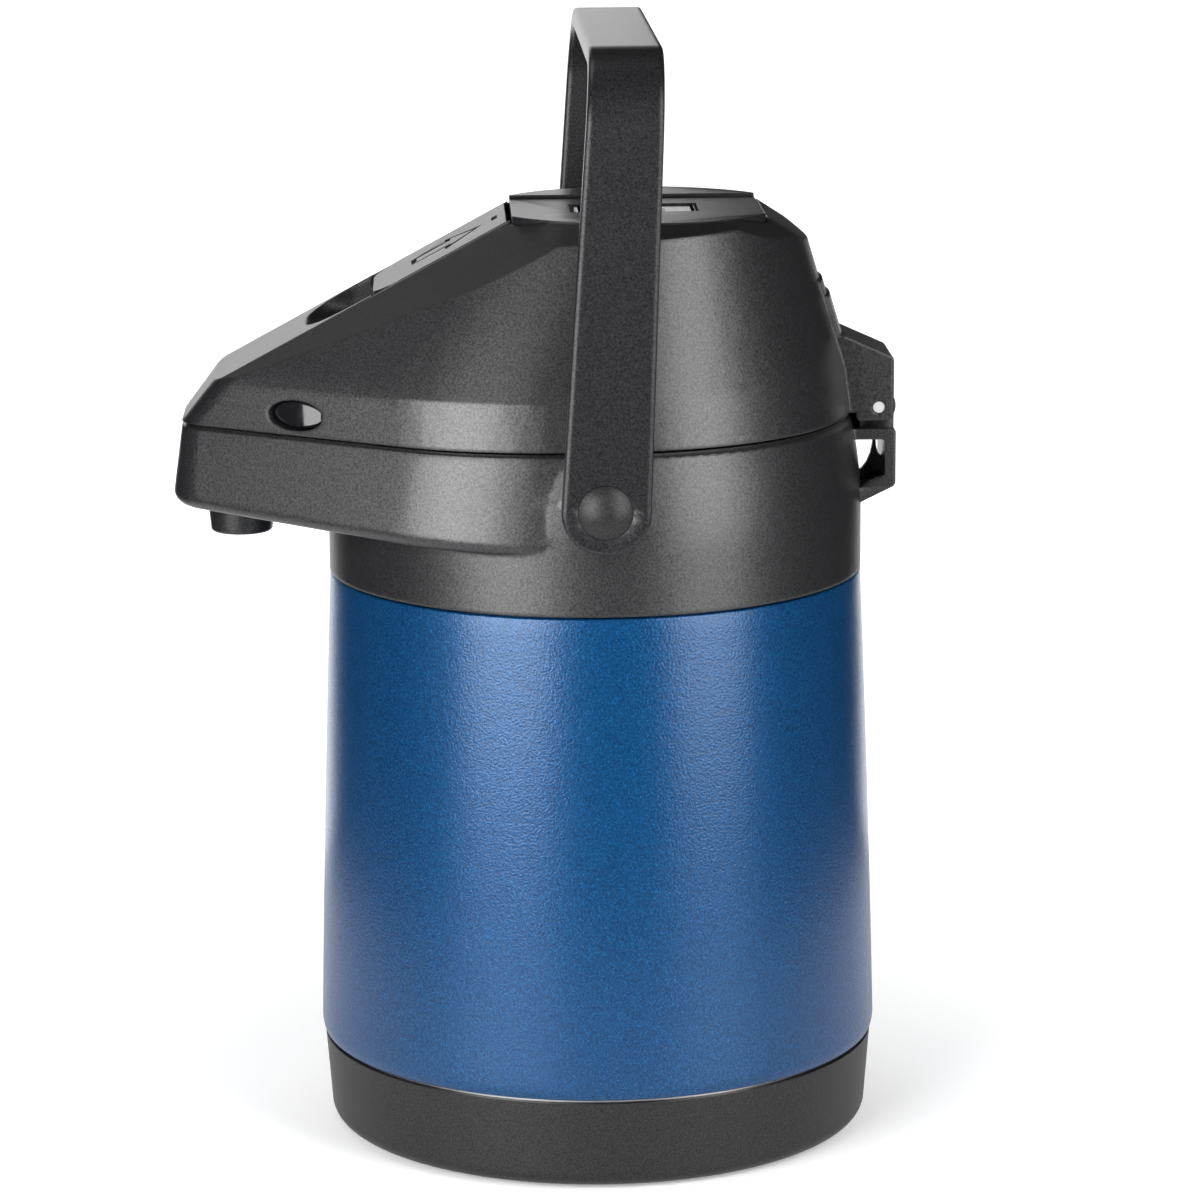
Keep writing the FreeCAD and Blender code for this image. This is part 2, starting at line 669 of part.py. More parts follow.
def shoulder():
    body = revolve(collar_points(0, COLLAR_Z, PARTING)).fuse(beak_outside())
    rim = revolve(collar_points(RIM_STEP, PARTING - 1, PARTING + RIM_H))
    body = body.fuse(rim.fuse(beak_loft(RIM_STEP, PARTING - 1, PARTING + RIM_H)))
    hollow = revolve(collar_points(SHELL, COLLAR_Z - 1, PARTING + 1))
    beak_hollow = beak_loft(SHELL, BEAK_FLOOR, PARTING + 1).cut(floor_plane(SHELL))
    body = body.cut(hollow).cut(beak_hollow)
    for side in (1, -1):
        reach = ARM_IN - ARM_GAP - COLLAR_R + SHELL
        base = Vector(side * (COLLAR_R - SHELL), 0, PIVOT_Z)
        body = body.fuse(cylinder(BOSS_R, base, X * side, reach))
        pivot_end = ARM_OUT - SCREW_HEAD_T - HEAD_GAP
        body = body.fuse(cylinder(PIVOT_R, base, X * side, pivot_end - COLLAR_R + SHELL))
        body = body.cut(cylinder(SCREW_R, base, X * side, BIG))
        post_floor = BEAK_FLOOR + SHELL / 2
        post = upright(POST_R, side * POST_X, POST_Y, post_floor, DECK_TOP - DECK_T)
        body = body.fuse(post.cut(floor_plane(0.5)))
        body = body.cut(upright(SCREW_R, side * POST_X, POST_Y, DECK_TOP - DECK_SCREW_L - SEAT_GAP, DECK_TOP))
    loop = bracket().fuse(hinge_lug()).cut(hollow)
    body = body.fuse(loop)
    body = body.cut(cylinder(PIN_R, Vector(-BIG, PIN_Y, PIN_Z), X, 2 * BIG))
    body = body.cut(upright(NOZZLE_TOP_R + SEAT_GAP, 0, NOZZLE_Y, NOZZLE_Z, PIPE_Z))
    return body.removeSplitter()


def deck_outline(z0, z1):
    inset = SHELL + SEAT_GAP
    round_part = between(revolve(collar_points(inset, z0, z1)), z0, z1)
    return round_part.fuse(between(beak_loft(inset, z0 - 1, z1 + 1), z0, z1))


def shoulder_deck():
    low = DECK_TOP - DECK_T
    deck = deck_outline(low, DECK_TOP)
    deck = deck.cut(upright(MOUTH_R + RING_T + SEAT_GAP, 0, 0, low - 1, DECK_TOP + 1))
    for side in (1, -1):
        deck = deck.cut(upright(SCREW_R, side * POST_X, POST_Y, low, DECK_TOP))
        deck = deck.cut(upright(SCREW_R + 1.6, side * POST_X, POST_Y, DECK_TOP - 1.2, DECK_TOP))
    return deck


def deck_screws():
    head = upright(SCREW_R + 1.3, POST_X, POST_Y, DECK_TOP - 1.2, DECK_TOP - 0.2)
    shank = upright(SCREW_R, POST_X, POST_Y, DECK_TOP - DECK_SCREW_L, DECK_TOP - 1.2)
    return both_sides(head.fuse(shank))


# Neck
def neck_ring():
    outer = MOUTH_R + RING_T
    low = DECK_TOP - DECK_T
    seat = NECK_TOP + GASKET_T
    ring = revolve([
        (NECK_R + SEAT_GAP, RING_BOTTOM), (outer, RING_BOTTOM), (outer, low - 3),
        (outer + 4, low - 3), (outer + 4, low),
        (outer, low), (outer, SEAT_Z), (MOUTH_R, SEAT_Z), (MOUTH_R, seat), (NECK_R + SEAT_GAP, seat)])
    return ring.cut(cylinder(PIPE_R + SEAL_GAP, Vector(0, 0, PIPE_Z), Y * -1, BIG))


def neck_gasket():
    return tube(NECK_R, MOUTH_R + SEAL_GAP, 0, 0, NECK_TOP, NECK_TOP + GASKET_T)


# Liquid way
def riser_tube():
    foot = CASING_Z + LINER_FLOOR_H + STEEL + TUBE_FLOOR_GAP
    return tube(TUBE_R, TUBE_R - TUBE_WALL, 0, TUBE_Y, foot, PIPE_Z - PIPE_R)


def riser_joint():
    low = PIPE_Z - PIPE_R - 6
    body = upright(JOINT_R, 0, TUBE_Y, low, PIPE_Z + JOINT_R)
    spigot = cylinder(PIPE_R, Vector(0, TUBE_Y, PIPE_Z), Y * -1, PIPE_START + TUBE_Y)
    bore = cylinder(PIPE_R - PIPE_WALL, Vector(0, TUBE_Y, PIPE_Z), Y * -1, BIG)
    body = body.fuse(spigot).cut(bore)
    body = body.cut(upright(PIPE_R - PIPE_WALL, 0, TUBE_Y, PIPE_Z - PIPE_R, PIPE_Z))
    return body.cut(upright(TUBE_R, 0, TUBE_Y, low - 1, PIPE_Z - PIPE_R))


def delivery_pipe():
    start = Vector(0, -PIPE_START, PIPE_Z)
    bend_start = Vector(0, NOZZLE_Y + PIPE_BEND, PIPE_Z)
    turn = PIPE_BEND * (1 - cos(pi / 4))
    bend_middle = Vector(0, NOZZLE_Y + turn, PIPE_Z - turn)
    bend_end = Vector(0, NOZZLE_Y, PIPE_Z - PIPE_BEND)
    end = Vector(0, NOZZLE_Y, nozzle_seat() - NOZZLE_FLANGE)
    path = Part.Wire([
        Part.makeLine(start, bend_start), Part.Arc(bend_start, bend_middle, bend_end).toShape(),
        Part.makeLine(bend_end, end)])
    skins = []
    for radius in (PIPE_R, PIPE_R - PIPE_WALL):
        ring = Part.Wire([Part.makeCircle(radius, start, Y * -1)])
        skins.append(path.makePipeShell([ring], True, True))
    return skins[0].cut(skins[1])


def nozzle_seat():
    """Height where the nozzle's flange rests on the tilted floor inside the beak."""
    front = NOZZLE_Y - NOZZLE_TOP_R - NOZZLE_FLANGE
    return BEAK_FLOOR + SHELL + SEAL_GAP - (front + COLLAR_R / 2) * tan(radians(BEAK_FLOOR_TILT))


def nozzle():
    top = nozzle_seat()
    end = top - NOZZLE_FLANGE
    edge = NOZZLE_EDGE_R * (1 - cos(pi / 4))
    return revolve([
        (NOZZLE_BORE_R, NOZZLE_Z), (NOZZLE_R - NOZZLE_EDGE_R, NOZZLE_Z),
        (NOZZLE_R, NOZZLE_Z + NOZZLE_EDGE_R, NOZZLE_R - edge, NOZZLE_Z + edge),
        (NOZZLE_TOP_R, top), (NOZZLE_TOP_R + NOZZLE_FLANGE, top), (NOZZLE_TOP_R + NOZZLE_FLANGE, top + 1.6),
        (PIPE_R + SEAL_GAP, top + 1.6), (PIPE_R + SEAL_GAP, end), (NOZZLE_BORE_R, end)], NOZZLE_Y)


# Handle
def handle():
    hoop = prism([
        (-ARM_OUT, 0, 0), (ARM_OUT, 0, 0), (ARM_OUT, HANDLE_TOP, HANDLE_CORNER_R),
        (-ARM_OUT, HANDLE_TOP, HANDLE_CORNER_R)],
        lambda p: Vector(p.x, -BIG / 2, p.y), Y * BIG)
    inner_r = HANDLE_CORNER_R - ARM_T
    inner_top = HANDLE_TOP - ARM_T
    gap = prism([
        (-ARM_IN, -1, 0), (ARM_IN, -1, 0), (ARM_IN, inner_top, inner_r), (-ARM_IN, inner_top, inner_r)],
        lambda p: Vector(p.x, -BIG / 2, p.y), Y * BIG)
    low = PIVOT_Z - ARM_END_R
    wide = ARM_END_R
    front = BAR_LEAN_Y - BAR_W / 2
    rear = BAR_LEAN_Y + BAR_W / 2
    rise = HANDLE_TOP - PIVOT_Z
    taper = (front + wide) / rise
    drop = ARM_END_R
    side = side_prism([
        (-wide - taper * drop, low, 0.97 * wide), (wide + taper * 0.2 * drop, low, 0.97 * wide),
        (rear, HANDLE_TOP, 0), (front, HANDLE_TOP, 0)], BIG)
    bail = hoop.cut(gap).common(side)
    outer = [e for e in bail.Edges if is_arm_edge(e)]
    bail = bail.makeFillet(HANDLE_EDGE_R, outer)
    for sign in (1, -1):
        base = Vector(sign * (ARM_IN - 1), 0, PIVOT_Z)
        bail = bail.cut(cylinder(PIVOT_R + PIN_FIT, base, X * sign, BIG))
        counterbore = Vector(sign * (ARM_OUT - SCREW_HEAD_T - HEAD_GAP), 0, PIVOT_Z)
        bail = bail.cut(cylinder(SCREW_HEAD_R + HEAD_GAP, counterbore, X * sign, BIG))
    return bail


def is_arm_edge(edge):
    """Long edges along the arms, the bar and the rounded arm ends."""
    bounds = edge.BoundBox
    return bounds.DiagonalLength > 2 * ARM_T or bounds.ZMin < PIVOT_Z


def pivot_caps():
    plug = SCREW_HEAD_R + HEAD_GAP
    ball = (CAP_R ** 2 + CAP_DOME ** 2) / (2 * CAP_DOME)
    sphere = Part.makeSphere(ball, Vector(ARM_OUT + CAP_DOME - ball, 0, PIVOT_Z))
    dome = sphere.common(cylinder(CAP_R + 1, Vector(ARM_OUT, 0, PIVOT_Z), X, CAP_DOME + 1))
    dome = dome.fuse(cylinder(plug, Vector(ARM_OUT - HEAD_GAP / 2, 0, PIVOT_Z), X, HEAD_GAP / 2))
    return both_sides(dome)


def pivot_screws():
    head_x = ARM_OUT - SCREW_HEAD_T - HEAD_GAP
    head = cylinder(SCREW_HEAD_R, Vector(head_x, 0, PIVOT_Z), X, SCREW_HEAD_T)
    shank = cylinder(SCREW_R, Vector(COLLAR_R - SHELL, 0, PIVOT_Z), X, head_x - COLLAR_R + SHELL)
    return both_sides(head.fuse(shank))


# Lid
def slope_z(y):
    """Height of the front slope's middle strip."""
    return TOP_Z + (y - BEND_Y) * BEND_T


def slope_prism(y0, y1, depth, half):
    """Slab along the front slope, depth thick under its surface."""
    return side_prism([
        (y0, slope_z(y0), 0), (y0, slope_z(y0) - depth, 0),
        (y1, slope_z(y1) - depth, 0), (y1, slope_z(y1), 0)], half)


def scoop_cut(grow):
    """Hollow for a finger in front of the lever, with a rounded floor."""
    floor = slope_z(SCOOP_FRONT) - SCOOP_DIP - grow
    half = SCOOP_HALF + grow
    front = SCOOP_FRONT - grow
    rear = LEVER_TIP + SCOOP_UNDER + grow
    hollow = prism([
        (-half, front, SCOOP_R), (half, front, SCOOP_R), (half, rear, 0), (-half, rear, 0)],
        at_height(floor), Z * LID_H)
    lower = [e for e in hollow.Edges if e.BoundBox.ZMax < floor + 0.01 and e.BoundBox.YMin < rear - 0.01]
    return hollow.makeFillet(SCOOP_FLOOR_R + grow, lower)


def button_frame(depth):
    """Placement of the right-hand button: its axis runs out through the beak wall."""
    plan = lid_plan(BUTTON_Z)
    wall_x = (plan[1] + WALL_N.y * -BUTTON_Y) / WALL_N.x
    on_wall = Vector(wall_x, BUTTON_Y, BUTTON_Z)
    return on_wall - WALL_N * depth


def oval(grow, start_depth, length):
    """Oval prism along the button's axis, from a depth behind the wall outwards."""
    base = button_frame(start_depth)
    along = Vector(-WALL_N.y, WALL_N.x, 0)
    a = BUTTON_L / 2 + grow
    b = BUTTON_H / 2 + grow
    ellipse = Part.Ellipse(base + along * a, base + Z * b, base)
    return Part.Face(Part.Wire([ellipse.toShape()])).extrude(WALL_N * length)


def hinge_block():
    """Block on the lid's rear wall that ends in two cheeks beside the shoulder's lug."""
    front = LID_REAR + CHEEK_GAP
    rear = PIN_Y + CHEEK_BACK
    low = PIN_Z - CHEEK_DROP
    profile = [
        (LID_REAR - SHELL / 2, LID_Z, 0), (front, LID_Z, 0), (front, low, 1), (rear, low, 1.5),
        (rear, BLOCK_REAR_Z, 1.5), (LID_REAR - SHELL, BLOCK_TOP_Z, 0), (LID_REAR - 2 * SHELL, BLOCK_TOP_Z, 0)]
    slot = side_prism([
        (LID_REAR - 2, PIN_Z - BIG, 0), (BIG, PIN_Z - BIG, 0), (BIG, PIN_Z + LUG_R + 2, 0),
        (LID_REAR - 2, PIN_Z + LUG_R + 2, 0)], CHEEK_IN)
    return side_prism(profile, CHEEK_OUT).cut(slot)


def rear_lip():
    """Edge of the roof that stands out over the rear wall and fades into the sides."""
    walls = lid_walls(0, 0)
    walls.translate(Y * REAR_OVERHANG)
    slab = under_roof(walls, 0).cut(under_roof(walls, REAR_LIP_T))
    plan = lid_plan(TOP_Z)
    start = plan[3] - plan[0] + REAR_LIP_START
    return slab.common(box(-BIG, BIG, start, BIG, 0, BIG))


def rear_steps():
    """Raised panel on the rear wall above the hinge block, in two steps."""
    steps = []
    for i, rise in enumerate(STEP_RISES):
        room = box(-CHEEK_OUT, CHEEK_OUT, LID_REAR / 2, BIG, BAND_Z, LID_Z + rise)
        steps.append(lid_walls(-STEP_OUT * (i + 1), 0).common(room))
    return steps[0].fuse(steps[1])


def lid_boss_places():
    return [(x, y) for x in (LID_BOSS_X, -LID_BOSS_X) for y in LID_BOSS_Y]


def lid_shell():
    inside = lid_body(LID_SHELL_T, LID_SHELL_T, 2 * LID_SHELL_T)
    shell = lid_body(0, 0, 0).fuse(rear_lip()).fuse(rear_steps()).cut(inside)
    well = between(plate_outline(PLATE_GAP + WELL_WALL), TOP_Z - WELL_DEPTH, TOP_Z)
    recess = LEVER_T + LEVER_GAP
    recess_half = STRIP_HALF + LEVER_GAP
    bed = slope_prism(SCOOP_FRONT, BEND_Y, recess + BED_T, recess_half + BED_T)
    pocket = oval(BUTTON_GAP + POCKET_WALL, POCKET_DEEP, 2 * POCKET_DEEP)
    added = well.fuse(bed).fuse(scoop_cut(BED_T)).fuse(pocket).fuse(mirrored(pocket))
    for x, y in lid_boss_places():
        added = added.fuse(upright(LID_BOSS_R, x, y, LID_PLATE_Z + LID_PLATE_T, TOP_Z))
    added = between(added.common(lid_body(LID_SHELL_T / 2, LID_SHELL_T / 2, 0)), LID_Z + SEAT_GAP, BIG)
    shell = shell.fuse(added).fuse(hinge_block())
    shell = shell.cut(between(plate_outline(PLATE_GAP), TOP_Z - WELL_DEPTH - 1, BIG))
    room = slope_prism(LEVER_TIP - LEVER_GAP, BEND_Y + 1, recess, recess_half)
    shell = shell.cut(room).cut(scoop_cut(0))
    barrel_room = cylinder(LEVER_BARREL_R + LEVER_GAP, lever_axis() - X * recess_half, X, 2 * recess_half)
    shell = shell.cut(barrel_room).cut(lever_pin())
    hole = oval(BUTTON_GAP, POCKET_DEEP - POCKET_WALL, BIG)
    shell = shell.cut(hole).cut(mirrored(hole))
    shell = shell.cut(cylinder(PIN_R + PIN_FIT, Vector(-BIG, PIN_Y, PIN_Z), X, 2 * BIG))
    for x, y in lid_boss_places():
        shell = shell.cut(upright(SCREW_R, x, y, 0, LID_PLATE_Z + SCREW_L + 1))
    return shell


# Hinge and lever pins
def hinge_pin():
    length = CHEEK_OUT - PIN_SUNK
    return cylinder(PIN_R, Vector(-length, PIN_Y, PIN_Z), X, 2 * length)


def lever_axis():
    """Centre of the lever's barrel, just under the slope and in front of the press plate."""
    y = BEND_Y - LEVER_GAP - LEVER_BARREL_R
    return Vector(0, y, slope_z(y) - LEVER_BARREL_R / cos(radians(FRONT_SLOPE)))


def lever_pin():
    half = STRIP_HALF + LEVER_GAP + BED_T
    return cylinder(LEVER_PIN_R, lever_axis() - X * half, X, 2 * half)


def coil(radius, wire, turns, base, axis, length):
    """Helical spring of eight-sided wire, with its free length between two seats."""
    pitch = (length - 2 * wire) / turns
    path = Part.makeHelix(pitch, pitch * turns, radius)
    corners = [2 * pi * (i + 0.5) / WIRE_SIDES for i in range(WIRE_SIDES + 1)]
    ring = Part.makePolygon([Vector(radius + wire * cos(a), 0, wire * sin(a)) for a in corners])
    spring = Part.Wire(path).makePipeShell([ring], True, True)
    spring.Placement = FreeCAD.Placement(base + axis * wire, Rotation(Z, axis))
    return spring


def lever_spring():
    length = 2 * SPRING_SLOT
    base = lever_axis() - X * SPRING_SLOT
    return coil(LEVER_PIN_R + 2 * LEVER_WIRE, LEVER_WIRE, LEVER_TURNS, base, X, length)


def slope_point(p):
    """Place a plan outline on the front slope's surface."""
    return Vector(p.x, p.y, slope_z(p.y))


def arrow(grow):
    """Arrow outline that points up the slope, grown on all sides."""
    tip = ARROW_Y + ARROW_L + grow * 1.6
    neck = ARROW_Y + ARROW_L - ARROW_HEAD - grow
    wide = ARROW_HALF + grow * 2.0
    shaft = ARROW_SHAFT + grow
    foot = ARROW_Y - grow
    points = [
        (0, tip, 0), (-wide, neck, 0), (-shaft, neck, 0), (-shaft, foot, 0), (shaft, foot, 0),
        (shaft, neck, 0), (wide, neck, 0)]
    normal = Vector(0, -BEND_T, 1).normalize()
    solid = prism(points, slope_point, normal * (2 * ARROW_DEEP))
    solid.translate(normal * -ARROW_DEEP)
    return solid


def release_lever():
    axis = lever_axis()
    slab = slope_prism(LEVER_TIP - 1, axis.y + LEVER_HEEL, LEVER_T, STRIP_HALF)
    plan = prism([
        (-STRIP_HALF, LEVER_TIP, LEVER_TIP_R), (STRIP_HALF, LEVER_TIP, LEVER_TIP_R), (STRIP_HALF, BEND_Y, 0),
        (-STRIP_HALF, BEND_Y, 0)], at_height(0), Z * BIG)
    lever = slab.common(plan)
    lever = lever.fuse(cylinder(LEVER_BARREL_R, axis - X * STRIP_HALF, X, 2 * STRIP_HALF))
    lever = lever.cut(cylinder(LEVER_PIN_R + PIN_FIT, axis - X * BIG, X, 2 * BIG))
    slot = SPRING_SLOT + LEVER_GAP
    slot_top = axis.z + LEVER_PIN_R + 4 * LEVER_WIRE
    lever = lever.cut(box(-slot, slot, axis.y - LEVER_BARREL_R, BEND_Y, 0, slot_top))
    return lever.cut(arrow(ARROW_LINE / 2).cut(arrow(-ARROW_LINE / 2)))


# Press plate and lock
def window(grow):
    half = WINDOW_HALF + grow
    return box(-half, half, WINDOW_REAR - WINDOW_L - grow, WINDOW_REAR + grow, 0, BIG)


def press_plate():
    outline = plate_outline(0)
    plate = between(outline, TOP_Z - PLATE_SKIRT, TOP_Z + LIP_H)
    plate = plate.cut(box(-LIP_INNER, LIP_INNER, -BIG, BIG, TOP_Z, BIG))
    plate = plate.cut(between(plate_outline(-PLATE_SKIRT_T), 0, TOP_Z - PLATE_T))
    return plate.cut(window(0))


def lock_tray():
    tray = between(window(0), TOP_Z - TRAY_DEPTH, TOP_Z - TRAY_SUNK)
    return tray.cut(between(window(-TRAY_WALL), TOP_Z - TRAY_DEPTH + TRAY_WALL, BIG))


def lock_slider():
    half = WINDOW_HALF - TRAY_WALL - SEAT_GAP
    rear = WINDOW_REAR - TRAY_WALL - SLIDER_GAP
    slider = box(-half, half, rear - SLIDER_L, rear, TRAY_FLOOR, TOP_Z - SLIDER_SUNK)
    groove_y = [rear - SLIDER_L / 2 + step * 2.4 for step in (-1, 0, 1)]
    for y in groove_y:
        slider = slider.cut(box(-half + 3, half - 3, y - 0.5, y + 0.5, TOP_Z - SLIDER_SUNK - 0.6, BIG))
    return slider


def slider_stop():
    half = WINDOW_HALF - TRAY_WALL
    return box(-half, half, STOP_Y, STOP_Y + STOP_T, TRAY_FLOOR, TOP_Z - SLIDER_SUNK)


def plunger():
    top = TOP_Z - PLATE_T
    inner = PLUNGER_R - PLUNGER_T
    return revolve([
        (0, PLUNGER_Z), (PLUNGER_R, PLUNGER_Z), (PLUNGER_R, top), (inner, top),
        (inner, PLUNGER_Z + PLUNGER_T),
        (0, PLUNGER_Z + PLUNGER_T)], PUMP_Y)


# Pump in the lid
def mouth_gasket():
    return tube(MOUTH_R + RING_T, MOUTH_R, 0, 0, SEAT_Z + SEAL_GAP, CUP_Z)


def inner_lid():
    top = LID_PLATE_Z + LID_PLATE_T
    clear = LID_SHELL_T + 2 * SEAT_GAP
    lid = between(lid_body(clear, clear, 0), LID_PLATE_Z, top)
    lid = lid.fuse(upright(CUP_R, 0, 0, CUP_Z, top))
    lid = lid.fuse(upright(MOUTH_R + RING_T, 0, 0, CUP_Z, CUP_FLOOR))
    lid = lid.cut(upright(CUP_R - CUP_WALL, 0, 0, CUP_FLOOR, BIG))
    lid = lid.cut(upright(VALVE_PORT_R, 0, PUMP_Y, 0, BIG))
    for x, y in lid_boss_places():
        lid = lid.cut(upright(SCREW_R, x, y, 0, BIG))
    return lid


def lid_screws():
    screws = []
    for x, y in lid_boss_places():
        head = upright(SCREW_R + 1.6, x, y, LID_PLATE_Z - SCREW_HEAD_T, LID_PLATE_Z)
        screws.append(head.fuse(upright(SCREW_R, x, y, LID_PLATE_Z, LID_PLATE_Z + SCREW_L)))
    return Part.makeCompound(screws)


def air_valve():
    return upright(VALVE_R, 0, PUMP_Y, CUP_Z - VALVE_T, CUP_Z)


def bellows():
    step = (PLUNGER_Z - CUP_FLOOR) / BELLOWS_FOLDS
    outer = [(BELLOWS_R, CUP_FLOOR)]
    inner = [(BELLOWS_R - BELLOWS_SKIN, CUP_FLOOR)]
    for fold in range(BELLOWS_FOLDS):
        z = CUP_FLOOR + fold * step
        outer += [(BELLOWS_IN, z + step / 2), (BELLOWS_R, z + step)]
        inner += [(BELLOWS_IN - BELLOWS_SKIN, z + step / 2), (BELLOWS_R - BELLOWS_SKIN, z + step)]
    return revolve(outer + inner[::-1], PUMP_Y)


def bellows_ring():
    return tube(BELLOWS_R + RING_GRIP, BELLOWS_R + SEAL_GAP, 0, PUMP_Y, CUP_FLOOR, CUP_FLOOR + RING_GRIP)


def return_spring():
    return coil(SPRING_R, SPRING_WIRE, SPRING_TURNS, Vector(0, PUMP_Y, CUP_FLOOR), Z, PLUNGER_Z - CUP_FLOOR)


# Side catches
def catch_button_right():
    button = oval(0, BUTTON_SUNK + BUTTON_DEEP, BUTTON_DEEP)
    front = [f.Edges for f in button.Faces if f.normalAt(0, 0).dot(WALL_N) > 0.99][0]
    return button.makeFillet(BUTTON_EDGE_R, front)


def catch_button_left():
    return mirrored(catch_button_right())


def catch_springs():
    start = POCKET_DEEP - POCKET_WALL
    length = start - BUTTON_SUNK - BUTTON_DEEP
    return both_sides(coil(CATCH_SPRING_R, CATCH_WIRE, CATCH_TURNS, button_frame(start), WALL_N, length))


NODES = (
    foot_pad, base_cover, base_screws, outer_casing, vacuum_liner, liner_floor, liner_neck,
    casing_bottom, vacuum_seal_cap, shoulder, shoulder_deck, deck_screws, neck_ring, neck_gasket,
    riser_tube, riser_joint, delivery_pipe, nozzle, handle, pivot_caps, pivot_screws, lid_shell,
    hinge_pin, inner_lid, lid_screws, mouth_gasket, bellows, bellows_ring, return_spring, air_valve,
    press_plate, plunger, lock_tray, lock_slider, slider_stop, release_lever, lever_pin,
    lever_spring, catch_button_right, catch_button_left, catch_springs)

os.makedirs("parts", exist_ok=True)
for make in NODES:
    make().exportStep("parts/" + make.__name__ + ".step")
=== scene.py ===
import json
import math

import bmesh
import bpy
from bpy.props import FloatProperty, FloatVectorProperty, IntProperty, PointerProperty
from mathutils import Matrix, Quaternion, Vector


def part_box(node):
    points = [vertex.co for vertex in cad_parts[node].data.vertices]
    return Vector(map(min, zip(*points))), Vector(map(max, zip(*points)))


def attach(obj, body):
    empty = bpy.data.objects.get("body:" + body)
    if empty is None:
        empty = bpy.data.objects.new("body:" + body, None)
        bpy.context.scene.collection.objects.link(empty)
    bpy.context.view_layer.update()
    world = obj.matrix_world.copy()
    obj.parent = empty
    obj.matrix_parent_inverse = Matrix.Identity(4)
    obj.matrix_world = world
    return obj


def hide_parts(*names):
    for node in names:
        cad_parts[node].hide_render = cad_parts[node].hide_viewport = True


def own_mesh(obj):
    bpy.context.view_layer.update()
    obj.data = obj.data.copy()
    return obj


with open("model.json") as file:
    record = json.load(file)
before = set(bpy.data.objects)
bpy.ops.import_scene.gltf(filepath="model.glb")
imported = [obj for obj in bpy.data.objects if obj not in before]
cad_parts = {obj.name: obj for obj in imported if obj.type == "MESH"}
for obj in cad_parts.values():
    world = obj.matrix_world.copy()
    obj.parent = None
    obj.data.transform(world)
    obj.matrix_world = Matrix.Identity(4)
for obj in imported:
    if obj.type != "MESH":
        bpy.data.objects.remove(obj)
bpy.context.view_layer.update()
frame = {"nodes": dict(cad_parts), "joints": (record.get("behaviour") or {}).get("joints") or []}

bl_info = {
    "name": "Pump Pot Dressing",
    "version": (1, 0, 0),
    "blender": (4, 5, 0),
    "location": "View3D > Sidebar > Pump Pot",
    "description": "Finishes, smooth skins, springs, screws and a studio for the pump pot",
    "category": "Object",
}

MM = 0.001
NODES = frame["nodes"]
FINISHES = {}

# Sizes that repeat those of the solids
CATCH_SPRING = 4.0 * MM
CATCH_SEAT = Vector((31.11, -81.18, 222.2)) * MM
BUTTON_DEPTH = 5.4 * MM
CASING_ROLL = 0.7 * MM
SPIGOT_STEP = 2.6 * MM
SPIGOT_HEIGHT = 8.0 * MM
NECK_RADIUS = 46.0 * MM
NECK_HEIGHT = 8.5 * MM
SCREW_RING = 52.0 * MM
SCREW_SHANK = 1.8 * MM

# Sizes of the meshes' making: merged points, slivers, and room between faces that bear on each other
WELD = 0.002 * MM
SLIVER = 0.001 * MM
BELLOWS_ROOM = 0.1 * MM
SCREW_ROOM = 0.05 * MM

# The picture's side and its shift, in pixels
PICTURE = 1200
SHIFT = 4.7


# Settings that a user would change
class PumpPotFinishes(bpy.types.PropertyGroup):
    """Colours and surface sizes of the pot's finishes"""

    charcoal: FloatVectorProperty(
        name="Charcoal", description="Colour of the moulded lid, shoulder and handle",
        subtype="COLOR", size=3, default=(0.0075, 0.0075, 0.0084))
    warm_black: FloatVectorProperty(
        name="Warm black", description="Colour of the base cover",
        subtype="COLOR", size=3, default=(0.007, 0.0067, 0.0074))
    lacquer: FloatVectorProperty(
        name="Lacquer", description="Colour of the hammered lacquer on the casing",
        subtype="COLOR", size=3, default=(0.0015, 0.044, 0.13))
    lacquer_deep: FloatVectorProperty(
        name="Lacquer, deep", description="Colour in the hollows of the hammered lacquer",
        subtype="COLOR", size=3, default=(0.0008, 0.024, 0.078))
    slider_grey: FloatVectorProperty(
        name="Slider grey", description="Colour of the lock slider",
        subtype="COLOR", size=3, default=(0.62, 0.62, 0.64))
    grain: FloatProperty(
        name="Grain", description="Size of the eroded grain on the mouldings",
        subtype="DISTANCE", default=0.6 * MM)
    peel: FloatProperty(
        name="Peel", description="Size of the dimples in the lacquer",
        subtype="DISTANCE", default=0.68 * MM)
    edge: FloatProperty(
        name="Edge", description="Softening of the mouldings' edges",
        subtype="DISTANCE", default=0.4 * MM)
    soft_edge: FloatProperty(
        name="Soft edge", description="Softening of the lid's creases and the edges of shoulder and handle",
        subtype="DISTANCE", default=1.4 * MM)


class PumpPotSizes(bpy.types.PropertyGroup):
    """Sizes of the pieces that are made here"""

    segments: IntProperty(
        name="Segments", description="Segments round the casing", default=192, min=24)
    wall_steps: IntProperty(
        name="Wall steps", description="Steps up the casing's bowed wall", default=28, min=4)
    casing_top: FloatProperty(
        name="Casing top", description="Height of the casing's upper edge",
        subtype="DISTANCE", default=169.3 * MM)
    casing_top_radius: FloatProperty(
        name="Casing top radius", description="Radius of the casing under the collar",
        subtype="DISTANCE", default=79.3 * MM)
    casing_bow: FloatProperty(
        name="Casing bow", description="Bulge of the wall between foot and top",
        subtype="DISTANCE", default=0.35 * MM)
    casing_curl: FloatProperty(
        name="Casing curl", description="How far the casing's lower edge curls in",
        subtype="DISTANCE", default=1.3 * MM)
    sheet: FloatProperty(
        name="Sheet", description="Thickness of the casing's steel sheet",
        subtype="DISTANCE", default=0.8 * MM)
    wire_sides: IntProperty(
        name="Wire sides", description="Sides of the springs' round wire", default=10, min=3)


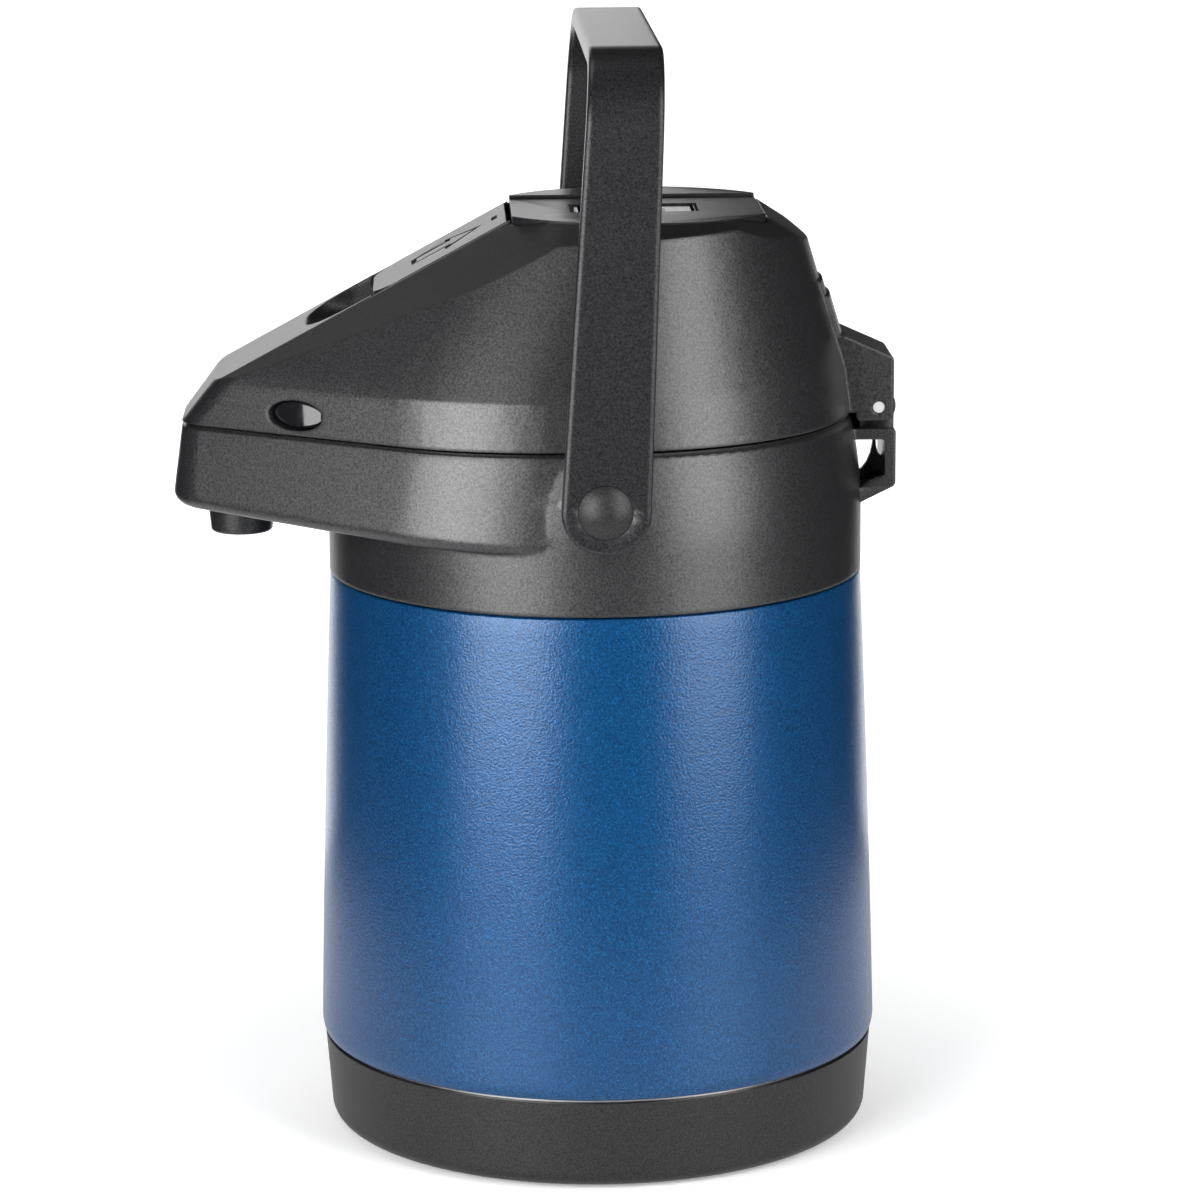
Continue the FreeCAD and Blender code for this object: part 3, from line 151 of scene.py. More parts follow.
class PumpPotStudio(bpy.types.PropertyGroup):
    """Camera and light"""

    camera_distance: FloatProperty(
        name="Camera distance", description="Distance of the camera from the pot's axis",
        subtype="DISTANCE", default=1.368)
    camera_height: FloatProperty(
        name="Camera height", description="Height of the camera above the floor",
        subtype="DISTANCE", default=0.4475)
    camera_turn: FloatProperty(
        name="Camera turn", description="Turn of the camera towards the spout",
        subtype="ANGLE", default=math.radians(2.0))
    camera_pitch: FloatProperty(
        name="Camera pitch", description="How far the camera looks down",
        subtype="ANGLE", default=math.radians(11.94))
    camera_roll: FloatProperty(
        name="Camera roll", description="Roll of the camera",
        subtype="ANGLE", default=math.radians(-0.34))
    lens: FloatProperty(
        name="Lens", description="Focal length on a 36 mm sensor, in mm", default=139.74)
    key_power: FloatProperty(
        name="Key power", description="Power of the softbox on the spout's side",
        subtype="POWER", default=12.2)
    fill_power: FloatProperty(
        name="Fill power", description="Power of the softbox on the hinge's side",
        subtype="POWER", default=12.0)
    top_power: FloatProperty(
        name="Top power", description="Power of the overhead softbox",
        subtype="POWER", default=4.5)
    backdrop: FloatProperty(
        name="Backdrop", description="Glow of the white backdrop behind the pot", default=0.8)
    walls: FloatProperty(
        name="Walls", description="Glow of the walls round the studio", default=1.0)
    card: FloatProperty(
        name="Card", description="Glow of the cards behind the pot that light its rims", default=0.9)
    button_card: FloatProperty(
        name="Button card", description="Glow of the card that the near side button mirrors", default=5.0)
    table: FloatProperty(
        name="Table", description="Brightness of the table that the casing mirrors", default=0.14)
    ambient: FloatProperty(
        name="Ambient", description="Brightness of the room", default=0.02)


# Finishes
def feed(tree, value, socket):
    """Link a socket to an output, or set its value."""
    if isinstance(value, bpy.types.NodeSocket):
        tree.links.new(value, socket)
    else:
        socket.default_value = value


def scaled(colour, factor):
    """A colour made lighter or darker."""
    return tuple(min(value * factor, 1.0) for value in colour)


class Finish:
    """A material in the making: its node tree and its main shader."""

    def __init__(self, name):
        self.material = bpy.data.materials.new(name)
        self.material.use_nodes = True
        self.tree = self.material.node_tree
        self.shader = self.tree.nodes["Principled BSDF"]
        self.place = self.node("ShaderNodeTexCoord").outputs["Object"]
        FINISHES[name] = self.material

    def node(self, kind, **settings):
        made = self.tree.nodes.new(kind)
        for key, value in settings.items():
            setattr(made, key, value)
        return made

    def link(self, output, target):
        self.tree.links.new(output, target)

    def socket(self, key):
        return self.shader.inputs[key.replace("_", " ").title().replace("Ior", "IOR")]

    def set(self, **values):
        """Set inputs of the shader to numbers or colours."""
        for key, value in values.items():
            self.socket(key).default_value = value if isinstance(value, float) else (*value, 1.0)

    def drive(self, **outputs):
        """Link inputs of the shader to what varies over the surface."""
        for key, output in outputs.items():
            self.link(output, self.socket(key))

    def stretched(self, scale):
        mapping = self.node("ShaderNodeMapping")
        mapping.inputs["Scale"].default_value = scale
        self.link(self.place, mapping.inputs["Vector"])
        return mapping.outputs["Vector"]

    def noise(self, size, detail=2.0, roughness=0.5, place=None):
        made = self.node("ShaderNodeTexNoise")
        made.inputs["Scale"].default_value = 1.0 / size
        made.inputs["Detail"].default_value = detail
        made.inputs["Roughness"].default_value = roughness
        self.link(place or self.place, made.inputs["Vector"])
        return made.outputs["Fac"]

    def cells(self, size, output="Distance"):
        made = self.node("ShaderNodeTexVoronoi")
        made.inputs["Scale"].default_value = 1.0 / size
        self.link(self.place, made.inputs["Vector"])
        return made.outputs[output]

    def spread(self, value, low, high, to_low=0.0, to_high=1.0):
        made = self.node("ShaderNodeMapRange")
        made.inputs["From Min"].default_value = low
        made.inputs["From Max"].default_value = high
        made.inputs["To Min"].default_value = to_low
        made.inputs["To Max"].default_value = to_high
        self.link(value, made.inputs["Value"])
        return made.outputs["Result"]

    def mix(self, factor, first, second):
        made = self.node("ShaderNodeMix", data_type="RGBA")
        ends = {socket.identifier: socket for socket in made.inputs}
        self.link(factor, ends["Factor_Float"])
        for value, socket in ((first, ends["A_Color"]), (second, ends["B_Color"])):
            plain = not isinstance(value, bpy.types.NodeSocket)
            feed(self.tree, (*value, 1.0) if plain else value, socket)
        return next(socket for socket in made.outputs if socket.identifier == "Result_Color")

    def bump(self, height, strength, depth, normal=None):
        made = self.node("ShaderNodeBump")
        made.inputs["Strength"].default_value = strength
        made.inputs["Distance"].default_value = depth
        self.link(height, made.inputs["Height"])
        if normal is not None:
            self.link(normal, made.inputs["Normal"])
        return made.outputs["Normal"]

    def soft_edges(self, radius):
        made = self.node("ShaderNodeBevel", samples=4)
        made.inputs["Radius"].default_value = radius
        return made.outputs["Normal"]

    def edge_highlight_mask(self, rounded):
        """Mask of the edges, where a highlight is painted into the colour."""
        flat = self.node("ShaderNodeNewGeometry").outputs["Normal"]
        likeness = self.node("ShaderNodeVectorMath", operation="DOT_PRODUCT")
        self.link(rounded, likeness.inputs[0])
        self.link(flat, likeness.inputs[1])
        return self.spread(likeness.outputs["Value"], 0.995, 0.9)


def grained_plastic(name, colour, grain, edge, rough, gloss=0.75, depth=0.03 * MM):
    """Moulded plastic: eroded grain, faint flow clouds and a highlight painted along the edges."""
    flow = 38 * MM
    finish = Finish(name)
    rounded = finish.soft_edges(edge)
    # Painted highlight: a mask of the edges, where the colour is made lighter.
    painted_edge_highlight = finish.edge_highlight_mask(rounded)
    clouds = finish.noise(flow, 3.0)
    fine = finish.noise(grain, 3.0, 0.65)
    pits = finish.cells(grain * 1.5)
    tone = finish.mix(finish.spread(clouds, 0.3, 0.7), scaled(colour, 0.9), scaled(colour, 1.12))
    speck = finish.mix(finish.spread(fine, 0.4, 0.72), scaled(colour, 0.9), scaled(colour, 1.9))
    base = finish.mix(finish.spread(pits, 0.1, 0.6), tone, speck)
    grained = finish.bump(pits, 0.06, depth, rounded)
    finish.drive(
        # Painted highlight along the edges: the colour there is made half as light again.
        base_color=finish.mix(painted_edge_highlight, base, scaled(colour, 1.5)),
        roughness=finish.spread(fine, 0.3, 0.7, rough - 0.05, rough + 0.07),
        specular_ior_level=finish.spread(fine, 0.35, 0.65, 0.64 * gloss, 1.36 * gloss),
        normal=finish.bump(fine, 0.45, depth, grained))
    finish.set(ior=1.5)


def hammered_lacquer(name, colour, deep, peel):
    """Metallic lacquer over fine dimples, with flakes of varied gloss and metal, and glints painted into
    the colour one by one.
    """
    dimple_depth = 0.085 * MM
    ripple_depth = 0.03 * MM
    finish = Finish(name)
    dimples = finish.noise(peel, 1.5, 0.5)
    ripple = finish.noise(peel * 0.45, 1.0)
    split = finish.node("ShaderNodeSeparateColor")
    finish.link(finish.cells(peel * 0.4, "Color"), split.inputs["Color"])
    base = finish.mix(finish.spread(dimples, 0.35, 0.65), deep, colour)
    # Painted glints: scattered flake cells whose colour is made lighter.
    painted_glint = finish.spread(split.outputs["Red"], 0.8, 1.0)
    dimpled = finish.bump(dimples, 1.0, dimple_depth)
    finish.drive(
        # Painted glints: the colour of those cells is made almost twice as light.
        base_color=finish.mix(painted_glint, base, scaled(colour, 1.9)),
        roughness=finish.spread(split.outputs["Green"], 0.0, 1.0, 0.36, 0.52),
        metallic=finish.spread(split.outputs["Blue"], 0.3, 1.0, 0.25, 0.6),
        coat_normal=dimpled,
        normal=finish.bump(ripple, 0.35, ripple_depth, dimpled))
    finish.set(
        coat_weight=0.75, coat_roughness=0.24, coat_ior=1.5, ior=1.5, specular_tint=(0.05, 0.4, 1.0))


def satin_steel(name, tone, rough):
    """Steel brushed round the pot's axis."""
    blotch = 14 * MM
    finish = Finish(name)
    lines = finish.noise(1.0, 4.0, 0.6, finish.stretched((25.0, 25.0, 2600.0)))
    clouds = finish.spread(finish.noise(blotch, 2.0), 0.3, 0.7)
    finish.drive(
        base_color=finish.mix(clouds, (tone * 0.86,) * 3, (tone, tone, tone * 1.01)),
        roughness=finish.spread(lines, 0.3, 0.7, rough - 0.07, rough + 0.08),
        normal=finish.bump(lines, 0.12, 0.02 * MM))
    finish.set(metallic=1.0)


def polished_plastic(name, colour, edge):
    """Polished plastic with faint wipe marks."""
    finish = Finish(name)
    wipes = finish.noise(1.0, 3.0, 0.6, finish.stretched((900.0, 160.0, 160.0)))
    finish.drive(
        base_color=finish.mix(wipes, scaled(colour, 0.8), scaled(colour, 1.25)),
        roughness=finish.spread(wipes, 0.3, 0.7, 0.01, 0.03),
        normal=finish.bump(wipes, 0.004, 0.01 * MM, finish.soft_edges(edge)))
    finish.set(ior=1.5, coat_weight=0.4, coat_roughness=0.01)


def soft_rubber(name, colour, rough):
    """Silicone or rubber: dusty, with a faint bloom and fine pores."""
    finish = Finish(name)
    bloom = finish.noise(6 * MM, 4.0)
    pores = finish.noise(0.3 * MM, 2.0)
    finish.drive(
        base_color=finish.mix(bloom, scaled(colour, 0.85), scaled(colour, 1.15)),
        roughness=finish.spread(bloom, 0.3, 0.7, rough - 0.06, rough + 0.08),
        normal=finish.bump(pores, 0.25, 0.02 * MM))
    finish.set(ior=1.42, sheen_weight=0.15, sheen_roughness=0.5)


def milky_plastic(name, colour):
    """Natural polypropylene of the riser tube, with draw lines along it."""
    finish = Finish(name)
    lines = finish.noise(1.0, 2.0, 0.5, finish.stretched((2200.0, 2200.0, 30.0)))
    finish.drive(
        base_color=finish.mix(lines, scaled(colour, 0.88), colour),
        roughness=finish.spread(lines, 0.3, 0.7, 0.26, 0.38),
        normal=finish.bump(lines, 0.1, 0.02 * MM))
    finish.set(ior=1.49, subsurface_weight=0.2, subsurface_scale=0.002)


def make_finishes(look):
    """All finishes of the pot, found by name in FINISHES."""
    colour, grain, edge, soft = look.charcoal, look.grain, look.edge, look.soft_edge
    small, fine = grain * 0.8, grain * 0.7
    grained_plastic("charcoal", colour, grain, edge, rough=0.37, gloss=0.7)
    grained_plastic("charcoal_soft", colour, grain, soft, rough=0.37, gloss=0.8)
    grained_plastic("charcoal_handle", colour, grain, soft, rough=0.32, gloss=0.52, depth=0.022 * MM)
    grained_plastic("charcoal_fine", colour, fine, edge, rough=0.35, gloss=0.6, depth=0.018 * MM)
    grained_plastic("charcoal_cap", colour, fine, edge, rough=0.45, gloss=0.42, depth=0.018 * MM)
    grained_plastic("warm_black", look.warm_black, small, edge, rough=0.42, gloss=0.42, depth=0.016 * MM)
    grained_plastic("inner_grey", (0.05, 0.05, 0.053), grain, edge, rough=0.5)
    grained_plastic("slider_grey", look.slider_grey, small, edge, rough=0.42, gloss=0.5, depth=0.015 * MM)
    hammered_lacquer("lacquer", look.lacquer, look.lacquer_deep, look.peel)
    satin_steel("satin_steel", tone=0.62, rough=0.3)
    satin_steel("bright_steel", tone=0.7, rough=0.2)
    satin_steel("peened_steel", tone=0.75, rough=0.6)
    polished_plastic("gloss_black", (0.006, 0.006, 0.007), edge=0.3 * MM)
    soft_rubber("silicone", (0.42, 0.42, 0.43), rough=0.5)
    soft_rubber("rubber", (0.018, 0.018, 0.018), rough=0.7)
    milky_plastic("milky", (0.66, 0.68, 0.69))


# Meshes
def new_piece(name, mesh):
    piece = bpy.data.objects.new(name, mesh)
    bpy.context.scene.collection.objects.link(piece)
    return piece


def dress(node, finish):
    """Give a CAD node that stays its finish."""
    mesh = NODES[node].data
    mesh.materials.clear()
    mesh.materials.append(FINISHES[finish])


def smooth(mesh, angle):
    """Smooth shading, up to an angle in degrees between faces."""
    mesh.shade_smooth()
    mesh.set_sharp_from_angle(angle=math.radians(angle))


def skin(node, body, finish, angle=24.0, weight="FACE_AREA_WITH_ANGLE"):
    """Smooth-shaded copy of a node whose facets would show, in the node's place."""
    mesh = bpy.data.meshes.new(node + "_skin")
    made = bmesh.new()
    made.from_mesh(NODES[node].data)
    bmesh.ops.remove_doubles(made, verts=made.verts, dist=WELD)
    bmesh.ops.dissolve_degenerate(made, edges=made.edges, dist=SLIVER)
    made.to_mesh(mesh)
    made.free()
    mesh.materials.append(FINISHES[finish])
    smooth(mesh, angle)
    piece = new_piece(node + "_skin", mesh)
    weighted = piece.modifiers.new("Even shading", "WEIGHTED_NORMAL")
    weighted.mode = weight
    weighted.keep_sharp = True
    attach(piece, body)
    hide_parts(node)
    return piece


class Tree:
    """A geometry node tree with named inputs."""

    def __init__(self, name):
        self.tree = bpy.data.node_groups.new(name, "GeometryNodeTree")
        for way in ("INPUT", "OUTPUT"):
            self.tree.interface.new_socket("Geometry", in_out=way, socket_type="NodeSocketGeometry")
        self.start = self.tree.nodes.new("NodeGroupInput")
        self.end = self.tree.nodes.new("NodeGroupOutput")

    def size(self, name, kind="NodeSocketFloat"):
        self.tree.interface.new_socket(name, in_out="INPUT", socket_type=kind)
        return self.start.outputs[name]

    def link(self, output, target):
        self.tree.links.new(output, target)

    def add(self, kind, **inputs):
        made = self.tree.nodes.new(kind)
        for key, value in inputs.items():
            socket = next(s for s in made.inputs if s.name.replace(" ", "_") == key and s.enabled)
            feed(self.tree, value, socket)
        return made

    def times(self, value, factor):
        made = self.tree.nodes.new("ShaderNodeMath")
        made.operation = "MULTIPLY"
        feed(self.tree, value, made.inputs[0])
        feed(self.tree, factor, made.inputs[1])
        return made.outputs[0]

    def vector(self, **parts):
        return self.add("ShaderNodeCombineXYZ", **parts).outputs["Vector"]

    def moved(self, solid, offset):
        """A primitive's mesh, moved."""
        made = self.add("GeometryNodeTransform", Geometry=solid.outputs["Mesh"], Translation=offset)
        return made.outputs["Geometry"]

    def finish(self, geometry):
        material = self.size("Material", "NodeSocketMaterial")
        real = self.add("GeometryNodeRealizeInstances", Geometry=geometry).outputs["Geometry"]
        shaded = self.add("GeometryNodeSetShadeSmooth", Geometry=real).outputs["Geometry"]
        painted = self.add("GeometryNodeSetMaterial", Geometry=shaded, Material=material)
        self.link(painted.outputs["Geometry"], self.end.inputs["Geometry"])
        return self.tree


def bake(name, mesh, tree, finish, angle, **sizes):
    """Run a tree on a mesh and keep the result as a plain mesh."""
    carrier = new_piece(name + "_carrier", mesh)
    modifier = carrier.modifiers.new(tree.name, "NODES")
    modifier.node_group = tree
    sizes["Material"] = FINISHES[finish]
    for item in tree.interface.items_tree:
        key = item.name.replace(" ", "_")
        if item.in_out == "INPUT" and key in sizes:
            modifier[item.identifier] = sizes[key]
    graph = bpy.context.evaluated_depsgraph_get()
    result = bpy.data.meshes.new_from_object(carrier.evaluated_get(graph))
    bpy.data.objects.remove(carrier)
    made = bmesh.new()
    made.from_mesh(result)
    bmesh.ops.remove_doubles(made, verts=made.verts, dist=SLIVER)
    bmesh.ops.recalc_face_normals(made, faces=made.faces)
    made.to_mesh(result)
    made.free()
    result.name = name
    smooth(result, angle)
    return new_piece(name, result)


def points_mesh(name, points, closed=False):
    """A mesh of loose points, or of points joined in a ring."""
    mesh = bpy.data.meshes.new(name)
    edges = []
    if closed:
        edges = [(i, (i + 1) % len(points)) for i in range(len(points))]
    mesh.from_pydata([Vector(p) for p in points], edges, [])
    return mesh


def plates(name, outlines, half):
    """Flat plates across X from their outlines in (Y, Z), in mm."""
    mesh = bpy.data.meshes.new(name)
    made = bmesh.new()
    for outline in outlines:
        face = made.faces.new([made.verts.new(Vector((-half, y, z)) * MM) for y, z in outline])
        pushed = bmesh.ops.extrude_face_region(made, geom=[face])["geom"]
        corners = [item for item in pushed if isinstance(item, bmesh.types.BMVert)]
        bmesh.ops.translate(made, verts=corners, vec=Vector((2 * half * MM, 0, 0)))
    bmesh.ops.recalc_face_normals(made, faces=made.faces)
    made.to_mesh(mesh)
    made.free()
    return mesh


def strip(pairs):
    """Faces between pairs of points that follow each other."""
    return [(2 * i, 2 * i + 2, 2 * i + 3, 2 * i + 1) for i in range(pairs - 1)]


def arc(centre, radius, start, end, steps):
    """Points of an arc between two angles in degrees."""
    turn = [math.radians(start + (end - start) * i / steps) for i in range(steps + 1)]
    return [(centre[0] + radius * math.cos(a), centre[1] + radius * math.sin(a)) for a in turn]


def lathe_tree():
    """Turns a profile round the Z axis, along a ring of the core's radius."""
    tree = Tree("turned_profile")
    segments = tree.size("Segments", "NodeSocketInt")
    core = 1.0 * MM
    profile = tree.add("GeometryNodeMeshToCurve", Mesh=tree.start.outputs["Geometry"]).outputs["Curve"]
    ring = tree.add("GeometryNodeCurvePrimitiveCircle", Resolution=segments, Radius=core).outputs["Curve"]
    round_shape = tree.add("GeometryNodeCurveToMesh", Curve=ring, Profile_Curve=profile)
    return tree.finish(round_shape.outputs["Mesh"]), core


def turned(name, outline, finish, centre_y=0.0, segments=96, angle=30.0):
    """A turned piece from its closed outline in (radius, height)."""
    tree, core = lathe_tree()
    mesh = points_mesh(name + "_outline", [(r - core, -z, 0) for r, z in outline], closed=True)
    piece = bake(name, mesh, tree, finish, angle, Segments=segments)
    piece.data.transform(Matrix.Translation((0, centre_y, 0)))
    return piece


def coil_tree():
    """A helical spring of round wire."""
    tree = Tree("wound_wire")
    turns = tree.size("Turns")
    radius = tree.size("Radius")
    height = tree.size("Height")
    wire = tree.size("Wire")
    sides = tree.size("Sides", "NodeSocketInt")
    path = tree.add(
        "GeometryNodeCurveSpiral", Resolution=40, Rotations=turns,
        Start_Radius=radius, End_Radius=radius, Height=height).outputs["Curve"]
    section = tree.add("GeometryNodeCurvePrimitiveCircle", Resolution=sides, Radius=wire).outputs["Curve"]
    wound = tree.add("GeometryNodeCurveToMesh", Curve=path, Profile_Curve=section, Fill_Caps=True)
    return tree.finish(wound.outputs["Mesh"])


def spring(name, base, axis, length, radius, wire, turns, sides):
    """A spring from its base along an axis; radius is the coil's, wire the wire's own radius."""
    piece = bake(
        name, points_mesh(name + "_start", [(0, 0, 0)]), coil_tree(), "bright_steel", 60.0,
        Turns=float(turns), Radius=radius, Height=length - 2 * wire, Wire=wire, Sides=sides)
    turn = Vector((0, 0, 1)).rotation_difference(axis).to_matrix().to_4x4()
    piece.data.transform(Matrix.Translation(base + axis * wire) @ turn)
    return piece


def screw_tree():
    """Pan-head screws with a cross recess, one on each point, head upwards from the point."""
    tree = Tree("cross_recess_screws")
    head = tree.size("Head radius")
    thick = tree.size("Head thickness")
    shank = tree.size("Shank radius")
    length = tree.size("Shank length")
    disc = tree.add("GeometryNodeMeshCylinder", Vertices=32, Radius=head, Depth=thick)
    disc = tree.moved(disc, tree.vector(Z=tree.times(thick, 0.5)))
    rod = tree.add("GeometryNodeMeshCylinder", Vertices=20, Radius=shank, Depth=length)
    rod = tree.moved(rod, tree.vector(Z=tree.times(length, -0.5)))
    cut = tree.add("GeometryNodeMeshBoolean")
    cut.operation = "DIFFERENCE"
    tree.link(disc, cut.inputs["Mesh 1"])
    wide = tree.times(head, 1.1)
    narrow = tree.times(head, 0.26)
    deep = tree.times(thick, 1.1)
    top = tree.vector(Z=thick)
    for first, second in ((wide, narrow), (narrow, wide)):
        bar = tree.add("GeometryNodeMeshCube", Size=tree.vector(X=first, Y=second, Z=deep))
        tree.link(tree.moved(bar, top), cut.inputs["Mesh 2"])
    whole = tree.add("GeometryNodeJoinGeometry")
    tree.link(cut.outputs["Mesh"], whole.inputs["Geometry"])
    tree.link(rod, whole.inputs["Geometry"])
    points = tree.start.outputs["Geometry"]
    placed = tree.add("GeometryNodeInstanceOnPoints", Points=points, Instance=whole.outputs["Geometry"])
    return tree.finish(placed.outputs["Instances"])


def screws(node, body, points, head, thick, length, upside_down):
    """Screws of one node; points are where head and shank meet."""
    flip = -1.0 if upside_down else 1.0
    mesh = points_mesh(node + "_places", [(x, y, z * flip) for x, y, z in points])
    piece = bake(
        node + "_cross", mesh, screw_tree(), "bright_steel", 30.0,
        Head_radius=head, Head_thickness=thick, Shank_radius=SCREW_SHANK, Shank_length=length)
    if upside_down:
        piece.data.transform(Matrix.Scale(-1.0, 4, (0, 0, 1)))
        piece.data.flip_normals()
    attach(piece, body)
    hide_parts(node)


# Operators, one for each group of pieces
class PUMPPOT_OT_casing(bpy.types.Operator):
    """Turn the lacquered casing with its curled foot, bowed wall, spigot and neck"""

    bl_idname = "pumppot.casing"
    bl_label = "Lacquered Casing"

    def execute(self, context):
        size = context.scene.pump_pot_sizes
        low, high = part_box("outer_casing")
        foot, foot_radius = low.z, high.x
        top, top_radius = size.casing_top, size.casing_top_radius
        sheet, curl = size.sheet, size.casing_curl
        curl_height, curl_steps = 3 * curl, 8
        lower = [(foot_radius - curl, foot)]
        for i in range(1, curl_steps):
            a = math.radians(90 * i / curl_steps)
            lower.append((foot_radius - curl * (1 - math.sin(a)), foot + curl_height * (1 - math.cos(a))))
        start, end = foot + curl_height, top - CASING_ROLL
        wall = []
        for i in range(size.wall_steps + 1):
            t = i / size.wall_steps
            radius = foot_radius + (top_radius - foot_radius) * t + 4 * size.casing_bow * t * (1 - t)
            wall.append((radius, start + (end - start) * t))
        rolled = arc((top_radius - CASING_ROLL, end), CASING_ROLL, 15, 90, 4)
        spigot = top_radius - SPIGOT_STEP
        upper = [(spigot, top), (spigot, top + SPIGOT_HEIGHT)]
        upper += [(NECK_RADIUS, high.z - NECK_HEIGHT), (NECK_RADIUS, high.z)]
        inside = [(NECK_RADIUS - sheet, high.z)]
        inside += [(radius - sheet, z - sheet) for radius, z in reversed(upper[:-1])]
        inside += [(radius - sheet, z) for radius, z in reversed(wall[:-1])]
        inside += [(foot_radius - curl - sheet, foot)]
        outline = lower + wall + rolled + upper + inside
        piece = turned("casing_skin", outline, "lacquer", segments=size.segments, angle=40.0)
        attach(piece, "pot")
        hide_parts("outer_casing")
        return {"FINISHED"}


class PUMPPOT_OT_mouldings(bpy.types.Operator):
    """Dress the shoulder, base, nozzle and all that stays on the pot, and add the hinge bracket's web"""

    bl_idname = "pumppot.mouldings"
    bl_label = "Pot Mouldings"

    def execute(self, context):
        skin("shoulder", "pot", "charcoal_soft")
        skin("base_cover", "pot", "warm_black")
        skin("nozzle", "pot", "charcoal_fine")
        for node in ("shoulder_deck", "neck_ring", "riser_joint", "delivery_pipe"):
            dress(node, "inner_grey")
        dress("riser_tube", "milky")
        dress("foot_pad", "rubber")
        dress("neck_gasket", "silicone")
        for node in ("vacuum_liner", "liner_floor", "liner_neck", "casing_bottom", "vacuum_seal_cap"):
            dress(node, "satin_steel")
        dress("hinge_pin", "peened_steel")
        self.bracket_web()
        return {"FINISHED"}

    def bracket_web(self):
        """Curved web in the loop under the hinge, and a tab above it, on the pot's middle plane."""
        curve = [(77.4, 196.6), (79.8, 197.6), (81.3, 199.6), (82.4, 202.3), (82.9, 204.6), (83.3, 208.4)]
        strut = [(83.9, 208.4), (84.1, 204.6), (84.65, 202.3), (85.9, 201.0)]
        foot = [(85.9, 196.9), (76.8, 191.9)]
        tab = [(75.9, 208.4), (78.4, 208.4), (78.4, 214.2), (75.9, 214.2)]
        piece = new_piece("bracket_web", plates("bracket_web", (curve + strut + foot, tab), half=1.0))
        piece.data.materials.append(FINISHES["charcoal"])
        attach(piece, "pot")


class PUMPPOT_OT_handle(bpy.types.Operator):
    """Dress the carrying handle and its pivot caps"""

    bl_idname = "pumppot.handle"
    bl_label = "Carrying Handle"

    def execute(self, context):
        skin("handle", "bail", "charcoal_handle", 35.0, "FACE_AREA")
        skin("pivot_caps", "bail", "charcoal_cap")
        return {"FINISHED"}


class PUMPPOT_OT_lid(bpy.types.Operator):
    """Dress the faceted lid, its lever, side buttons and inner plate"""

    bl_idname = "pumppot.lid"
    bl_label = "Lid"

    def execute(self, context):
        skin("lid_shell", "lid", "charcoal_soft", 12.0)
        skin("release_lever", "lever", "charcoal")
        skin("catch_button_right", "right_catch", "gloss_black", 40.0)
        skin("catch_button_left", "left_catch", "gloss_black", 40.0)
        skin("inner_lid", "lid", "inner_grey")
        dress("mouth_gasket", "silicone")
        dress("air_valve", "silicone")
        dress("bellows_ring", "inner_grey")
        dress("lever_pin", "bright_steel")
        return {"FINISHED"}


class PUMPPOT_OT_press(bpy.types.Operator):
    """Dress the press plate, its lock and the plunger under it"""

    bl_idname = "pumppot.press"
    bl_label = "Press Plate and Lock"

    def execute(self, context):
        skin("press_plate", "pump", "charcoal_fine")
        skin("lock_slider", "lock", "slider_grey")
        dress("lock_tray", "gloss_black")
        dress("slider_stop", "slider_grey")
        dress("plunger", "inner_grey")
        return {"FINISHED"}


class PUMPPOT_OT_bellows(bpy.types.Operator):
    """Turn the folded bellows; the piece keeps one height and does not flatten as the plate is pressed"""

    bl_idname = "pumppot.bellows"
    bl_label = "Bellows"

    def execute(self, context):
        low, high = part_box("bellows")
        outer = (high.x - low.x) / 2
        inner = 22.5 * MM
        thick = 1.2 * MM
        folds = 6
        steps = 12 * folds
        outside = []
        for i in range(steps + 1):
            t = i / steps
            wave = (1 + math.cos(2 * math.pi * t * folds)) / 2
            outside.append((inner + (outer - inner) * wave, low.z + (high.z - BELLOWS_ROOM - low.z) * t))
        inside = [(r - thick, z) for r, z in reversed(outside)]
        piece = turned("bellows_folds", outside + inside, "silicone", (low.y + high.y) / 2, angle=50.0)
        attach(piece, "lid")
        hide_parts("bellows")
        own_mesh(piece)
        return {"FINISHED"}


class PUMPPOT_OT_springs(bpy.types.Operator):
    """Wind the return spring, the lever's spring and the springs behind the side buttons"""

    bl_idname = "pumppot.springs"
    bl_label = "Springs"

    def execute(self, context):
        sides = context.scene.pump_pot_sizes.wire_sides
        self.return_spring(sides)
        self.lever_spring(sides)
        self.catch_springs(sides)
        return {"FINISHED"}

    def return_spring(self, sides):
        """Upright spring that lifts the press plate."""
        low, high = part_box("return_spring")
        length = high.z - low.z
        base = Vector(((low.x + high.x) / 2, (low.y + high.y) / 2, low.z))
        piece = spring(
            "return_spring_wire", base, Vector((0, 0, 1)), length,
            radius=18.0 * MM, wire=0.9 * MM, turns=6, sides=sides)
        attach(piece, "lid")
        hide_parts("return_spring")
        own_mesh(piece)

    def lever_spring(self, sides):
        """Spring wound along the lever's pin."""
        low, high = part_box("lever_spring")
        base = Vector((low.x, (low.y + high.y) / 2, (low.z + high.z) / 2))
        wire = 0.3 * MM
        radius = (high.z - low.z) / 2 - wire
        piece = spring("lever_spring_wire", base, Vector((1, 0, 0)), high.x - low.x, radius, wire, 6, sides)
        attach(piece, "lid")
        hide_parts("lever_spring")

    def catch_springs(self, sides):
        """One spring behind each side button, wound along the button's travel."""
        for joint in frame["joints"]:
            if not joint["name"].endswith("catch_press"):
                continue
            axis = -Vector(joint["axis"])
            base = Vector((math.copysign(CATCH_SEAT.x, axis.x), CATCH_SEAT.y, CATCH_SEAT.z))
            piece = spring(
                joint["child"] + "_spring", base, axis, CATCH_SPRING,
                radius=2.4 * MM, wire=0.35 * MM, turns=3, sides=sides)
            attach(piece, "lid")
            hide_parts("catch_springs")
            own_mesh(piece)


